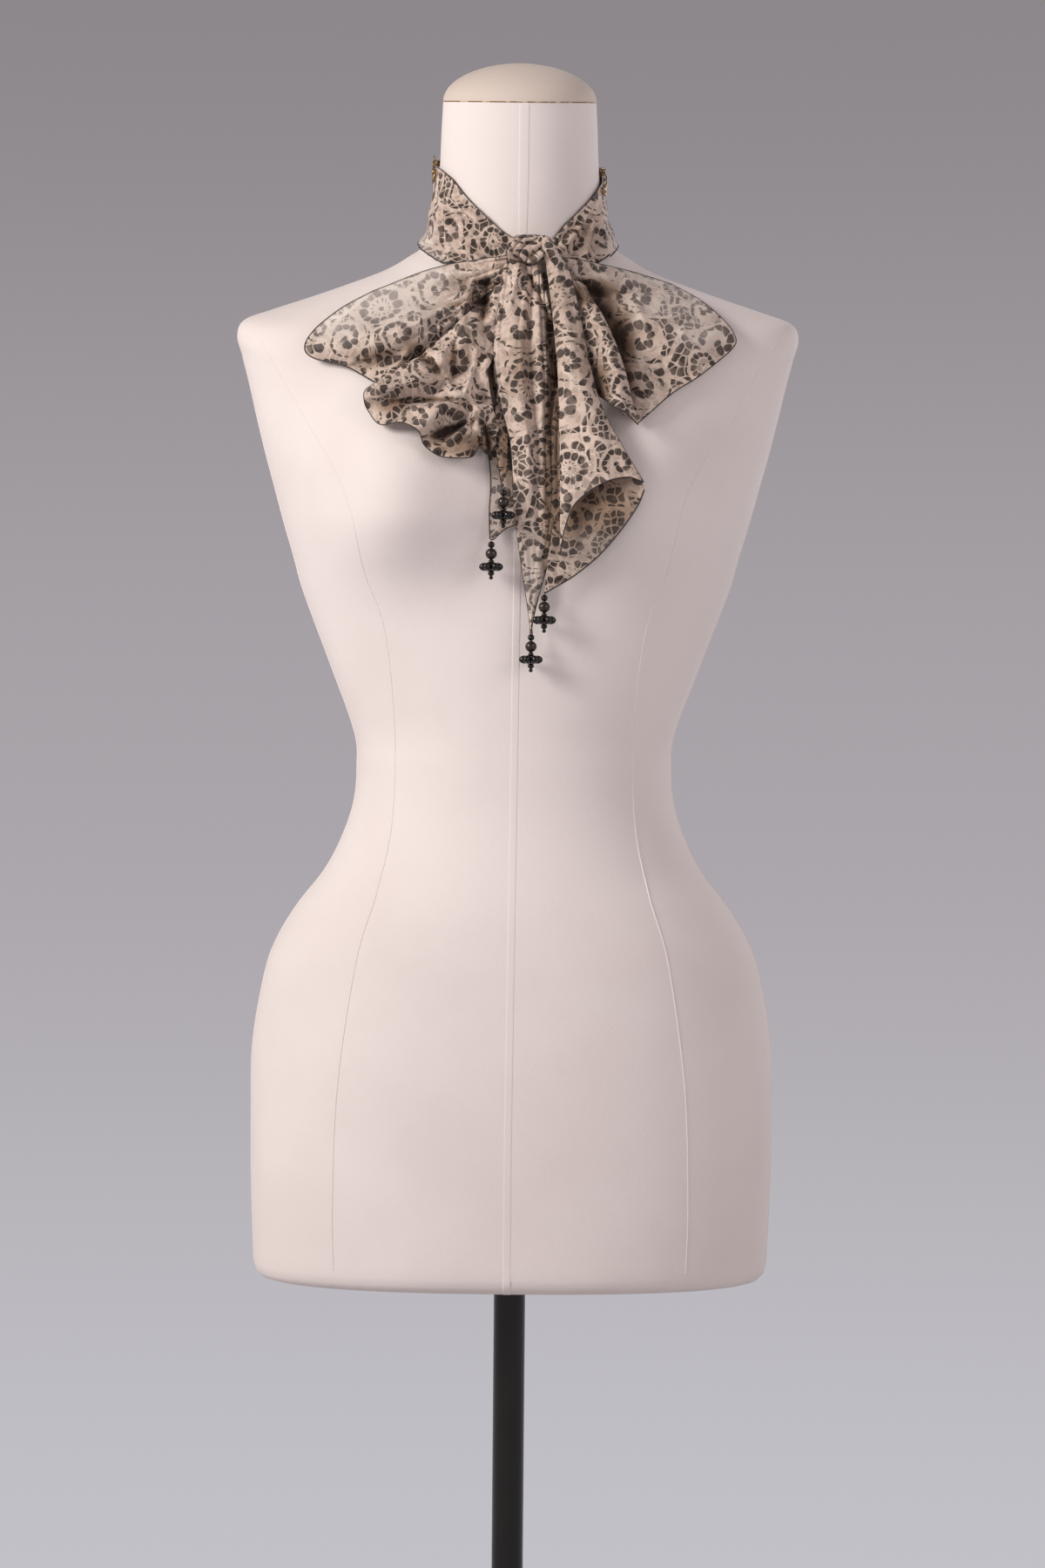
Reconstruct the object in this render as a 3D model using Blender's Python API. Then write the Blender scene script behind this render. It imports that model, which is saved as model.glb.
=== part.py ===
# A bow-tied cravat with bead droppers, on a limbless dress form and its stand.
# Metres, +Z up. The front faces -Y. The origin is the centre of the stand's underside.
# Tables are in millimetres, with heights measured from the underside of the form.

import math

import bpy
import bmesh
import numpy as np
from mathutils import Vector
from mathutils.bvhtree import BVHTree

MM = 0.001
GAP = 0.4

# Stand
BASE_RADIUS = 205.0
BASE_THICKNESS = 10.0
BASE_EDGE = 3.0
BASE_SIDES = 40
BOSS_RADIUS = 19.0
BOSS_HEIGHT = 32.0
BOSS_EDGE = 3.0
BOSS_FLARE = 6.0
POLE_RADIUS = 11.0
POLE_SIDES = 24
FORM_UNDERSIDE = 650.0

# Dress form
FORM_EDGE = 11.0
FORM_ROWS = 42
FORM_SIDES = 36
SURFACE_ROWS = 161
SURFACE_SIDES = 96
FAR = 400.0
BUST_APART = 88.0
BUST_HEIGHT = 528.0
BUST_RISE = 30.0
BUST_SPREAD = 48.0
BUST_ABOVE = 75.0
BUST_BELOW = 45.0
CAP_RISE = 28.7
CAP_SIDES = 32
CAP_STEPS = (84, 66, 48, 30, 14, 0)

# Height at the side, half width, height in front, depth in front,
# height behind, depth behind, squareness, middle of the depth
FORM_RINGS = [
    (821.8, 53.5, 813.0, 62.0, 830.0, 42.0, 2.00, -10.0),
    (800.0, 54.6, 792.0, 60.0, 807.0, 46.0, 2.00, -7.0),
    (779.0, 55.5, 770.0, 58.0, 786.0, 51.0, 2.00, -3.5),
    (742.5, 58.5, 729.0, 56.0, 752.0, 62.0, 2.00, 3.0),
    (724.0, 66.0, 706.0, 55.5, 736.0, 70.0, 2.00, 7.0),
    (715.0, 78.0, 697.0, 57.0, 727.0, 75.0, 2.00, 9.0),
    (706.0, 94.0, 690.0, 60.0, 718.0, 79.0, 2.00, 10.0),
    (696.8, 118.0, 681.0, 64.0, 708.0, 83.0, 2.10, 11.0),
    (687.6, 144.6, 671.0, 69.0, 697.0, 87.0, 2.20, 12.0),
    (678.5, 172.0, 659.0, 74.0, 684.0, 91.0, 2.35, 12.0),
    (671.0, 192.0, 645.0, 79.0, 668.0, 94.0, 2.50, 12.0),
    (660.0, 197.0, 628.0, 84.5, 650.0, 96.0, 2.55, 12.0),
    (645.0, 193.0, 612.0, 89.0, 632.0, 97.0, 2.50, 11.0),
    (626.6, 188.2, 596.0, 92.5, 615.0, 97.5, 2.45, 10.0),
    (602.0, 182.4, 578.0, 97.0, 592.0, 97.0, 2.40, 9.0),
    (577.8, 176.3, 560.0, 100.0, 571.0, 96.0, 2.35, 8.0),
    (553.4, 169.6, 543.0, 101.0, 549.0, 95.0, 2.30, 7.0),
    (529.0, 162.9, 522.0, 101.0, 526.0, 93.0, 2.25, 6.0),
    (504.6, 155.6, 501.0, 98.0, 503.0, 90.0, 2.20, 5.0),
    (480.0, 148.5, 479.0, 94.0, 480.0, 86.0, 2.15, 4.0),
    (431.4, 130.0, 431.4, 90.0, 431.4, 80.0, 2.10, 3.0),
    (382.6, 112.0, 382.6, 87.5, 382.6, 77.0, 2.05, 2.0),
    (358.0, 109.8, 358.0, 88.0, 358.0, 78.0, 2.05, 2.0),
    (333.8, 111.6, 333.8, 89.0, 333.8, 80.0, 2.05, 2.0),
    (309.4, 119.3, 309.4, 92.0, 309.4, 85.0, 2.05, 2.0),
    (285.0, 131.8, 285.0, 97.0, 285.0, 92.0, 2.05, 2.0),
    (260.6, 150.7, 260.6, 102.0, 260.6, 101.0, 2.10, 3.0),
    (236.0, 165.3, 236.0, 105.0, 236.0, 108.0, 2.15, 4.0),
    (211.8, 173.5, 211.8, 107.0, 211.8, 114.0, 2.15, 5.0),
    (163.0, 181.5, 163.0, 108.5, 163.0, 121.0, 2.20, 6.0),
    (114.0, 182.0, 114.0, 108.0, 114.0, 122.0, 2.20, 6.0),
    (65.4, 181.5, 65.4, 106.0, 65.4, 118.0, 2.20, 6.0),
    (FORM_EDGE, 179.3, FORM_EDGE, 102.0, FORM_EDGE, 113.0, 2.20, 6.0),
]

# Cloth
WALL = 1.5
BAND_WALL = 1.4
BAND_ROWS = 6
BAND_COLUMNS = 56

# Angle round the neck from the front, height of the top edge, height of the
# bottom edge, and how far the top, the middle and the bottom stand off the form
BAND_STATIONS = [
    (-180, 779, 735, 2.0, 3.5, 2.5),
    (-135, 779, 732, 2.0, 3.5, 2.5),
    (-110, 778, 727, 2.0, 4.0, 3.0),
    (-90, 777, 721, 2.0, 4.5, 4.0),
    (-70, 773, 711, 2.0, 5.0, 5.0),
    (-52, 764, 703, 2.0, 4.5, 4.5),
    (-38, 750, 701, 2.0, 4.0, 4.0),
    (-24, 737, 702, 2.0, 3.5, 3.5),
    (-8, 723, 704, 2.0, 3.0, 3.0),
    (8, 717, 704, 2.0, 3.0, 3.0),
    (20, 717, 702, 2.0, 3.5, 3.5),
    (33, 731, 701, 2.0, 4.5, 4.5),
    (48, 744, 702, 2.0, 5.0, 5.0),
    (68, 759, 710, 2.0, 5.0, 6.0),
    (90, 771, 721, 2.0, 4.5, 5.0),
    (110, 776, 727, 2.0, 4.0, 3.0),
    (135, 778, 732, 2.0, 3.5, 2.5),
    (180, 779, 735, 2.0, 3.5, 2.5),
]
BAND_PLEATS = 2.5
BAND_PLEAT_DEPTH = 0.9

# Knot: height, half width, depth behind, depth in front, both from the form's axis
KNOT_CENTRE = 9.0
KNOT_RINGS = [
    (703.2, 13.5, 63.0, 83.0),
    (704.5, 15.8, 61.0, 85.5),
    (708.0, 17.6, 60.0, 87.5),
    (713.0, 17.2, 60.0, 87.0),
    (717.5, 14.6, 60.5, 84.0),
    (720.0, 11.0, 62.0, 79.5),
]
KNOT_SIDES = 36
KNOT_ROUNDNESS = 0.7
KNOT_PLEATS = 9
KNOT_PLEAT_DEPTH = 0.7

# Each cloth stretch has a row for each fold line, from the knot outwards. A point is
# its place across, its height, and how far it stands in front of the form.
LEFT_WING = [
    [(-8.3, 706.5, 17), (-58, 700, 12), (-99, 685, 7)],
    [(-9.0, 703.5, 17), (-64, 691, 13), (-120, 672, 9)],
    [(-10.5, 700, 15), (-70, 679, 9), (-138, 656, 9)],
    [(-12.0, 696, 15), (-75, 665, 13), (-145, 643, 12)],
    [(-13.5, 692, 13), (-78, 653, 20), (-139, 635, 9)],
    [(-15.0, 688, 10), (-75, 644, 12), (-117, 629, 5)],
    [(-16.5, 684, 7), (-62, 643, 5), (-96, 619, 5)],
]
LEFT_RUFFLE = [
    [(-17.0, 685.5, 10.8), (-57, 643, 12), (-94, 617, 11)],
    [(-17.5, 674, 14), (-59, 632, 18), (-102, 611, 15)],
    [(-19, 662, 13), (-60, 623, 23), (-103, 605, 18)],
    [(-19.5, 653, 11), (-62, 615, 16), (-101, 598, 9)],
    [(-19.5, 644, 10), (-62, 608, 8), (-92, 587, 8)],
    [(-19.5, 635, 11), (-58, 602, 16), (-78, 588, 14)],
    [(-19.5, 626, 13), (-53, 595, 22), (-66, 582, 18)],
    [(-19, 617, 11), (-49, 589, 12), (-62, 573, 8)],
    [(-18, 609, 10), (-44, 584, 8), (-53, 566, 8)],
    [(-17, 603, 11), (-37, 582, 16), (-42, 564, 15)],
    [(-16, 598, 11), (-31, 581, 18), (-30, 565, 17)],
    [(-14.5, 594, 10.5), (-26, 580, 10), (-25, 573, 9)],
    [(-13, 590, 10.5), (-20, 580, 9.5), (-19.5, 568, 9)],
    [(-11.5, 586, 11), (-14, 580, 11), (-13.5, 575, 11.5)],
]
RIGHT_WING = [
    [(25.9, 707, 16), (58, 704, 12), (85, 700, 8), (107, 694, 7)],
    [(27, 703.5, 17), (58, 697, 18), (90, 690, 13), (122, 681, 9)],
    [(29, 699.5, 11), (57, 685, 12), (92, 677, 10), (135, 665, 9)],
    [(32, 696, 6), (57, 672, 5), (95, 663, 14), (143, 654, 10)],
    [(33, 693, 4.5), (60, 656, 5), (98, 649, 16), (142, 645, 8)],
    [(34, 690, 4), (64, 640, 5), (94, 634, 9), (122, 625, 10)],
    [(34.5, 687, 4), (66, 625, 5), (86, 619, 6), (102, 612, 6)],
    [(35, 684, 4), (66, 612, 6), (78, 606, 9), (87, 599, 9)],
    [(35.5, 681, 4), (63, 603, 5), (71, 596, 5), (77, 590, 6)],
]
RIGHT_ROLL = [
    [(32, 691, 12), (39, 654, 15), (52, 610, 11)],
    [(33.5, 691, 14.5), (44, 657, 22), (57, 605, 20)],
    [(35.5, 690, 16.3), (51, 659, 30), (63, 599, 27)],
    [(38, 689, 16.3), (59, 655, 30), (70, 595, 27)],
    [(40, 687.5, 15), (65, 646, 21), (75, 590, 20)],
    [(41.5, 686, 12.5), (68, 638, 13), (78, 588, 12)],
]
CENTRE_TAIL = [
    [(2, 702.6, 12), (-15, 629, 10), (-3, 575, 10), (-1, 528, 9), (7.4, 461, 9.2), (8.6, 448, 9.8)],
    [(4, 702.6, 16), (-9, 629, 15), (2, 575, 14), (4, 528, 12), (8.6, 461, 9.6), (9.4, 448, 9.8)],
    [(7, 702.6, 18), (0, 628, 19), (8, 575, 17), (8, 527, 13), (9.8, 461, 9.9), (10.2, 448, 9.8)],
    [(10, 702.6, 17), (8, 629, 12), (13, 575, 11), (14, 528, 10), (11, 461, 10), (11.0, 448, 9.8)],
    [(13, 702.6, 18), (16, 628, 16), (18, 574, 14), (19, 527, 11), (12.2, 461, 9.9), (11.8, 448, 9.8)],
    [(16, 702.6, 16), (23, 629, 12), (24, 575, 11), (24, 528, 9), (13.4, 461, 9.6), (12.6, 448, 9.8)],
    [(19, 702.6, 13), (30, 629, 9), (29, 575, 9), (29, 528, 8), (14.6, 461, 9.2), (13.4, 448, 9.8)],
]
RIGHT_TAIL = [
    [(18.5, 702.6, 22), (27, 628, 22), (29, 568, 20), (30, 501, 17)],
    [(20.5, 702.6, 26), (31, 627, 29), (35, 570, 25), (33, 518, 19)],
    [(22.5, 702.6, 27), (37, 627, 32), (42, 573, 29), (40, 534, 21)],
    [(24.5, 702.6, 25), (43, 621, 29), (55, 576, 29), (56, 546, 23)],
    [(26, 702.6, 21), (47, 616, 22), (64, 576, 23), (73, 551, 19)],
    [(27.5, 702.4, 18), (51, 609, 18), (71, 572, 18), (85, 548, 15)],
]
RIGHT_FOLD = [
    [(26, 527, 12), (22, 498, 12), (19.5, 474.5, 12)],
    [(32, 536, 12), (30, 507, 11), (27, 479, 11)],
    [(42, 545, 12), (41, 519, 10), (40, 487, 9)],
    [(54, 552, 12), (55, 527, 10), (56, 500, 9)],
    [(66, 556, 12), (68, 536, 10), (70, 516, 9)],
    [(76, 556, 12), (79, 542, 11), (81, 532, 11)],
    [(82, 553, 12.2), (84, 548.5, 12.6), (85.5, 543, 12.8)],
]
LEFT_TAIL = [
    [(-6, 690, 2.5), (-18, 611, 2.5), (-16.5, 557, 3), (-17.5, 511, 9)],
    [(-2, 690, 2.5), (-12, 611, 2.5), (-11, 557, 3.5), (-15, 510.5, 9)],
    [(2, 690, 2.5), (-6, 611, 2.5), (-6, 557, 3.5), (-7.5, 517.5, 6)],
    [(5, 690, 2.5), (1, 611, 2.5), (-1, 557, 3), (-0.5, 521, 4)],
]
SHORT_TAIL = [
    [(-4.5, 692, 7), (-14, 611, 6), (-14, 575, 7), (-9.8, 545, 15.2)],
    [(-1, 692, 7), (-9.5, 611, 6), (-10, 574.5, 8), (-8.5, 544.5, 15.5)],
    [(2.5, 692, 7), (-5, 611, 6), (-6, 575, 7), (-7.2, 545, 15.2)],
]

# Name, rows, steps between two fold lines, steps along a fold line
CLOTH = [
    ("left_wing", LEFT_WING, 3, 9),
    ("left_ruffle", LEFT_RUFFLE, 3, 7),
    ("right_wing", RIGHT_WING, 3, 9),
    ("right_roll", RIGHT_ROLL, 3, 8),
    ("centre_tail", CENTRE_TAIL, 2, 18),
    ("right_tail", RIGHT_TAIL, 3, 12),
    ("right_tail_fold", RIGHT_FOLD, 2, 6),
    ("left_tail", LEFT_TAIL, 2, 12),
    ("short_tail", SHORT_TAIL, 2, 10),
]

# Droppers: name, place across, height of the top, distance in front of the form
DROPPERS = [
    ("dropper_short", -8.5, 543.4, 15.5),
    ("dropper_left", -16.4, 509.3, 9.5),
    ("dropper_right", 19.6, 474.0, 12.0),
    ("dropper_centre", 10.9, 447.5, 10.0),
]
# Depth below the top, radius, and how far six petals stand out
DROPPER_PROFILE = [
    (0.0, 0.5, 0.0), (0.6, 1.7, 0.0), (2.3, 2.5, 0.0), (4.2, 1.6, 0.0),
    (5.2, 2.6, 0.0), (7.0, 3.8, 0.0), (8.9, 4.1, 0.0), (11.0, 3.4, 0.0),
    (12.6, 1.6, 0.0), (13.8, 2.1, 0.0), (14.9, 1.9, 0.8), (15.8, 2.8, 3.8),
    (17.5, 3.2, 4.8), (19.2, 2.8, 3.8), (20.1, 1.9, 0.8), (21.8, 2.3, 0.0),
    (23.6, 1.3, 0.0), (24.6, 1.5, 0.0), (26.2, 0.6, 0.0),
]
DROPPER_SIDES = 12
PETALS = 6

# Chain round the back of the neck
CHAIN_FROM = 84.0
CHAIN_LINKS = 36
CHAIN_HEIGHT = 5.2
CHAIN_THICKNESS = 1.6
CHAIN_ABOVE = 3.3
CHAIN_OFF = 1.4


def material(name, colour, roughness, metallic=0.0):
    finish = bpy.data.materials.new(name)
    finish.use_nodes = True
    shader = finish.node_tree.nodes["Principled BSDF"]
    shader.inputs["Base Color"].default_value = (*colour, 1.0)
    shader.inputs["Roughness"].default_value = roughness
    shader.inputs["Metallic"].default_value = metallic
    return finish


def add_object(name, mesh, finish, sharp_degrees=50.0):
    part = bpy.data.objects.new(name, mesh)
    bpy.context.scene.collection.objects.link(part)
    mesh.materials.append(finish)
    mesh.shade_smooth()
    mesh.set_sharp_from_angle(angle=math.radians(sharp_degrees))
    return part


def smooth_between(points, position):
    """Point on a smooth curve through the given points, for 0 to 1 along them."""
    last = len(points) - 1
    place = position * last
    index = min(int(place), last - 1)
    step = place - index
    start = points[index]
    end = points[index + 1]
    before = points[index - 1] if index > 0 else 2 * start - end
    after = points[index + 2] if index + 2 <= last else 2 * end - start
    bend = 2 * before - 5 * start + 4 * end - after
    twist = 3 * start - before - 3 * end + after
    return 0.5 * (2 * start + (end - before) * step + bend * step ** 2 + twist * step ** 3)


def bust_rise(across, height):
    spread = BUST_ABOVE if height > BUST_HEIGHT else BUST_BELOW
    sideways = ((abs(across) - BUST_APART) / BUST_SPREAD) ** 2
    upwards = ((height - BUST_HEIGHT) / spread) ** 2
    return BUST_RISE * math.exp(-sideways - upwards)


def form_ring(table, position, sides):
    """One ring of the dress form, in millimetres above the form's underside."""
    values = smooth_between(table, position)
    side_height, half_width, front_height, front, back_height, back, square, middle = values
    lean = 0.5 * (back_height - front_height)
    dip = 0.5 * (back_height + front_height) - side_height
    points = []
    for side in range(sides):
        angle = 2 * math.pi * side / sides
        cosine = math.cos(angle)
        sine = math.sin(angle)
        across = half_width * math.copysign(abs(cosine) ** (2 / square), cosine)
        depth = math.copysign(abs(sine) ** (2 / square), sine)
        reach = back - middle if depth > 0 else front + middle
        height = side_height + lean * depth + dip * depth ** 2
        forward = middle + reach * depth
        if depth < 0:
            forward -= bust_rise(across, height) * min(1.0, -1.6 * depth)
        points.append(Vector((across, forward, height)))
    return points


def loft(rings, close_ends=True):
    """Mesh through rings of equal point count, listed from the top down."""
    sides = len(rings[0])
    mesh = bmesh.new()
    rows = [[mesh.verts.new(point) for point in ring] for ring in rings]
    for upper, lower in zip(rows, rows[1:]):
        for side in range(sides):
            after = (side + 1) % sides
            mesh.faces.new((upper[side], lower[side], lower[after], upper[after]))
    if close_ends:
        mesh.faces.new(rows[0])
        mesh.faces.new(list(reversed(rows[-1])))
    bmesh.ops.recalc_face_normals(mesh, faces=mesh.faces)
    return mesh


def finish_mesh(mesh, name, raise_by=0.0):
    """Turns a millimetre mesh into a metre mesh, raised to its place on the stand."""
    bmesh.ops.translate(mesh, verts=mesh.verts, vec=(0, 0, raise_by))
    bmesh.ops.scale(mesh, verts=mesh.verts, vec=(MM, MM, MM))
    data = bpy.data.meshes.new(name)
    mesh.to_mesh(data)
    mesh.free()
    return data


def form_rings(ring_count, sides):
    table = np.array(FORM_RINGS)
    return [form_ring(table, row / (ring_count - 1), sides) for row in range(ring_count)]


def form_surface():
    """Search tree of the form's surface, for laying the cloth on it."""
    mesh = loft(form_rings(SURFACE_ROWS, SURFACE_SIDES))
    tree = BVHTree.FromBMesh(mesh)
    mesh.free()
    return tree


def form_front(tree, across, height):
    """Distance of the form's front surface from the form's axis plane."""
    hit = tree.ray_cast(Vector((across, -FAR, height)), Vector((0, 1, 0)))[0]
    return -hit.y


def make_form(finish):
    rings = form_rings(FORM_ROWS, FORM_SIDES)
    lowest = rings[-1]
    for step in (1, 2, 3):
        angle = math.radians(30 * step)
        inset = FORM_EDGE * (1 - math.cos(angle))
        height = FORM_EDGE * (1 - math.sin(angle))
        ring = []
        for point in lowest:
            outward = Vector((point.x, point.y, 0)).normalized()
            ring.append(Vector((point.x, point.y, height)) - outward * inset)
        rings.append(ring)
    data = finish_mesh(loft(rings), "form_body", FORM_UNDERSIDE)
    return add_object("form_body", data, finish)


def make_cap(finish):
    seam = form_ring(np.array(FORM_RINGS), 0.0, CAP_SIDES)
    centre = sum(seam, Vector()) / len(seam)
    rings = []
    for degrees in CAP_STEPS:
        angle = math.radians(degrees)
        reach = math.cos(angle)
        rise = CAP_RISE * math.sin(angle) + GAP
        ring = []
        for point in seam:
            inward = centre + (point - centre) * reach
            ring.append(inward + Vector((0, 0, rise)))
        rings.append(ring)
    data = finish_mesh(loft(rings), "neck_cap", FORM_UNDERSIDE)
    return add_object("neck_cap", data, finish)


def circle(radius, height, sides):
    angles = [2 * math.pi * side / sides for side in range(sides)]
    return [Vector((radius * math.cos(a), radius * math.sin(a), height)) for a in angles]


def make_stand(finish):
    """Round plate, the boss on it, and the pole that stands on the boss."""
    bevel = BASE_EDGE * 0.3
    plate = [
        circle(BASE_RADIUS - BASE_EDGE, BASE_THICKNESS, BASE_SIDES),
        circle(BASE_RADIUS - bevel, BASE_THICKNESS - bevel, BASE_SIDES),
        circle(BASE_RADIUS, BASE_THICKNESS - BASE_EDGE, BASE_SIDES),
        circle(BASE_RADIUS, 0, BASE_SIDES),
    ]
    add_object("base_plate", finish_mesh(loft(plate), "base_plate"), finish, 40)
    boss_foot = BASE_THICKNESS + GAP
    boss_top = boss_foot + BOSS_HEIGHT
    boss = [
        circle(BOSS_RADIUS - BOSS_EDGE, boss_top, BASE_SIDES),
        circle(BOSS_RADIUS, boss_top - BOSS_EDGE, BASE_SIDES),
        circle(BOSS_RADIUS + BOSS_FLARE, boss_foot, BASE_SIDES),
    ]
    add_object("pole_boss", finish_mesh(loft(boss), "pole_boss"), finish, 40)
    pole = [
        circle(POLE_RADIUS, FORM_UNDERSIDE - GAP, POLE_SIDES),
        circle(POLE_RADIUS, boss_top + GAP, POLE_SIDES),
    ]
    add_object("pole", finish_mesh(loft(pole), "pole"), finish, 40)


def thicken(part, wall):
    shell = part.modifiers.new("Wall", "SOLIDIFY")
    shell.thickness = wall * MM
    shell.offset = 0.0
    shell.use_rim = True


def grid_mesh(points, name):
    """Open sheet of quads through a grid of points, raised to the form's height."""
    mesh = bmesh.new()
    rows = [[mesh.verts.new(point) for point in row] for row in points]
    for first, second in zip(rows, rows[1:]):
        for left in range(len(first) - 1):
            mesh.faces.new((first[left], second[left], second[left + 1], first[left + 1]))
    return finish_mesh(mesh, name, FORM_UNDERSIDE)


def make_cloth(tree, name, rows, between, along, finish):
    """Sheet through the fold lines, in front of the form, given a wall."""
    lines = [np.array(row, dtype=float) for row in rows]
    count = (len(lines) - 1) * between + 1
    points = []
    for row in range(count):
        line = smooth_between(lines, row / (count - 1))
        stretch = []
        for column in range(along + 1):
            across, height, lift = smooth_between(line, column / along)
            depth = form_front(tree, across, height) + lift
            stretch.append(Vector((across, -depth, height)))
        points.append(stretch)
    part = add_object(name, grid_mesh(points, name), finish, 180)
    thicken(part, WALL)
    return part


def band_values(degrees):
    """Top, bottom and stand-offs of the neck band at an angle from the front."""
    table = [np.array(row[1:], dtype=float) for row in BAND_STATIONS]
    angles = [row[0] for row in BAND_STATIONS]
    index = max(i for i, angle in enumerate(angles[:-1]) if angle <= degrees)
    step = (degrees - angles[index]) / (angles[index + 1] - angles[index])
    return smooth_between(table, (index + step) / (len(table) - 1))


def neck_point(tree, degrees, height, stand_off):
    """Point outside the neck at an angle from the front, standing off its surface."""
    angle = math.radians(degrees)
    outward = Vector((math.sin(angle), -math.cos(angle), 0))
    start = Vector((0, 0, height)) + outward * FAR
    hit, normal = tree.ray_cast(start, -outward)[:2]
    if normal.dot(outward) < 0:
        normal = -normal
    return hit + normal * stand_off


def band_point(tree, degrees, down):
    """Point of the neck band's middle surface; down runs 0 to 1 from its top edge."""
    top, bottom, top_off, middle_off, bottom_off = band_values(degrees)
    height = top + (bottom - top) * down
    offs = [np.array([off]) for off in (top_off, middle_off, bottom_off)]
    stand_off = smooth_between(offs, down)[0]
    pleat = math.sin(2 * math.pi * BAND_PLEATS * down + math.radians(degrees))
    return neck_point(tree, degrees, height, stand_off + BAND_PLEAT_DEPTH * pleat * down)


def make_band(tree, finish):
    mesh = bmesh.new()
    columns = []
    for column in range(BAND_COLUMNS):
        degrees = -180 + 360 * column / BAND_COLUMNS
        downs = [row / BAND_ROWS for row in range(BAND_ROWS + 1)]
        columns.append([mesh.verts.new(band_point(tree, degrees, down)) for down in downs])
    for column, first in enumerate(columns):
        second = columns[(column + 1) % BAND_COLUMNS]
        for row in range(BAND_ROWS):
            mesh.faces.new((first[row], first[row + 1], second[row + 1], second[row]))
    data = finish_mesh(mesh, "neck_band", FORM_UNDERSIDE)
    part = add_object("neck_band", data, finish, 180)
    thicken(part, BAND_WALL)
    return part


def make_knot(finish):
    """Gathered knot: flattened rings with soft pleats down the front."""
    rings = []
    for height, half_width, back, front in reversed(KNOT_RINGS):
        ring = []
        middle = 0.5 * (front + back)
        reach = 0.5 * (front - back)
        for side in range(KNOT_SIDES):
            angle = 2 * math.pi * side / KNOT_SIDES
            cosine = math.cos(angle)
            sine = math.sin(angle)
            across = half_width * math.copysign(abs(cosine) ** KNOT_ROUNDNESS, cosine)
            forward = reach * math.copysign(abs(sine) ** KNOT_ROUNDNESS, sine)
            pleat = KNOT_PLEAT_DEPTH * math.cos(KNOT_PLEATS * angle) if sine > 0.3 else 0.0
            depth = middle + forward - pleat
            ring.append(Vector((KNOT_CENTRE + across, -depth, height)))
        rings.append(ring)
    data = finish_mesh(loft(rings), "knot", FORM_UNDERSIDE)
    return add_object("knot", data, finish)


def make_dropper(tree, name, across, top, lift, finish):
    """Beads threaded on one line, with a six-petalled spacer bead."""
    centre = -form_front(tree, across, top) - lift
    rings = []
    for below, radius, petal in DROPPER_PROFILE:
        ring = []
        for side in range(DROPPER_SIDES):
            angle = 2 * math.pi * side / DROPPER_SIDES
            lobe = max(0.0, math.cos(PETALS * angle))
            reach = radius + petal * lobe
            x = across + reach * math.cos(angle)
            y = centre + reach * math.sin(angle)
            ring.append(Vector((x, y, top - below)))
        rings.append(ring)
    data = finish_mesh(loft(rings), name, FORM_UNDERSIDE)
    return add_object(name, data, finish, 180)


def make_chain(tree, finish):
    """Flat chain round the back of the neck, just above the band's top edge."""
    sections = []
    steps = CHAIN_LINKS * 2
    for step in range(steps + 1):
        degrees = CHAIN_FROM + (360 - 2 * CHAIN_FROM) * step / steps
        folded = degrees if degrees <= 180 else degrees - 360
        height = band_values(folded)[0] + CHAIN_ABOVE
        narrow = 0.72 if step % 2 else 1.0
        half = 0.5 * CHAIN_HEIGHT * narrow
        inner = neck_point(tree, folded, height, CHAIN_OFF)
        outer = neck_point(tree, folded, height, CHAIN_OFF + CHAIN_THICKNESS * narrow)
        up = Vector((0, 0, half))
        sections.append([inner - up, inner + up, outer + up * 0.7, outer - up * 0.7])
    data = finish_mesh(loft(sections), "chain", FORM_UNDERSIDE)
    return add_object("chain", data, finish, 180)


def build():
    for old in list(bpy.data.objects):
        bpy.data.objects.remove(old, do_unlink=True)
    knit = material("form_knit", (0.78, 0.71, 0.66), 0.85)
    cap_knit = material("cap_knit", (0.66, 0.57, 0.46), 0.85)
    black = material("stand_black", (0.02, 0.018, 0.016), 0.3)
    chiffon = material("chiffon_print", (0.62, 0.51, 0.43), 0.7)
    glass = material("bead_glass", (0.015, 0.012, 0.01), 0.12)
    gilt = material("gilt", (0.55, 0.40, 0.18), 0.35, 1.0)
    tree = form_surface()
    make_form(knit)
    make_cap(cap_knit)
    make_stand(black)
    make_band(tree, chiffon)
    make_knot(chiffon)
    for name, rows, between, along in CLOTH:
        make_cloth(tree, name, rows, between, along, chiffon)
    for name, across, top, lift in DROPPERS:
        make_dropper(tree, name, across, top, lift, glass)
    make_chain(tree, gilt)


build()
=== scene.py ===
# %% [markdown]
# # A printed chiffon cravat on a dress form
# The cravat is one long scarf of sheer chiffon. It goes round the neck of a dress form,
# is tied in a bow, and ends in tails with black bead droppers. The solids of the frame
# hold the sizes. This lesson gives them their looks: thin cloth with many folds, a
# lace-like print, rolled hems, polished beads and the knitted cover of the form.

# %% Load the frame and the tools
import math
import bpy
import bmesh
import numpy as np
from mathutils import Matrix, Vector, noise
from mathutils.bvhtree import BVHTree


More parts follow.
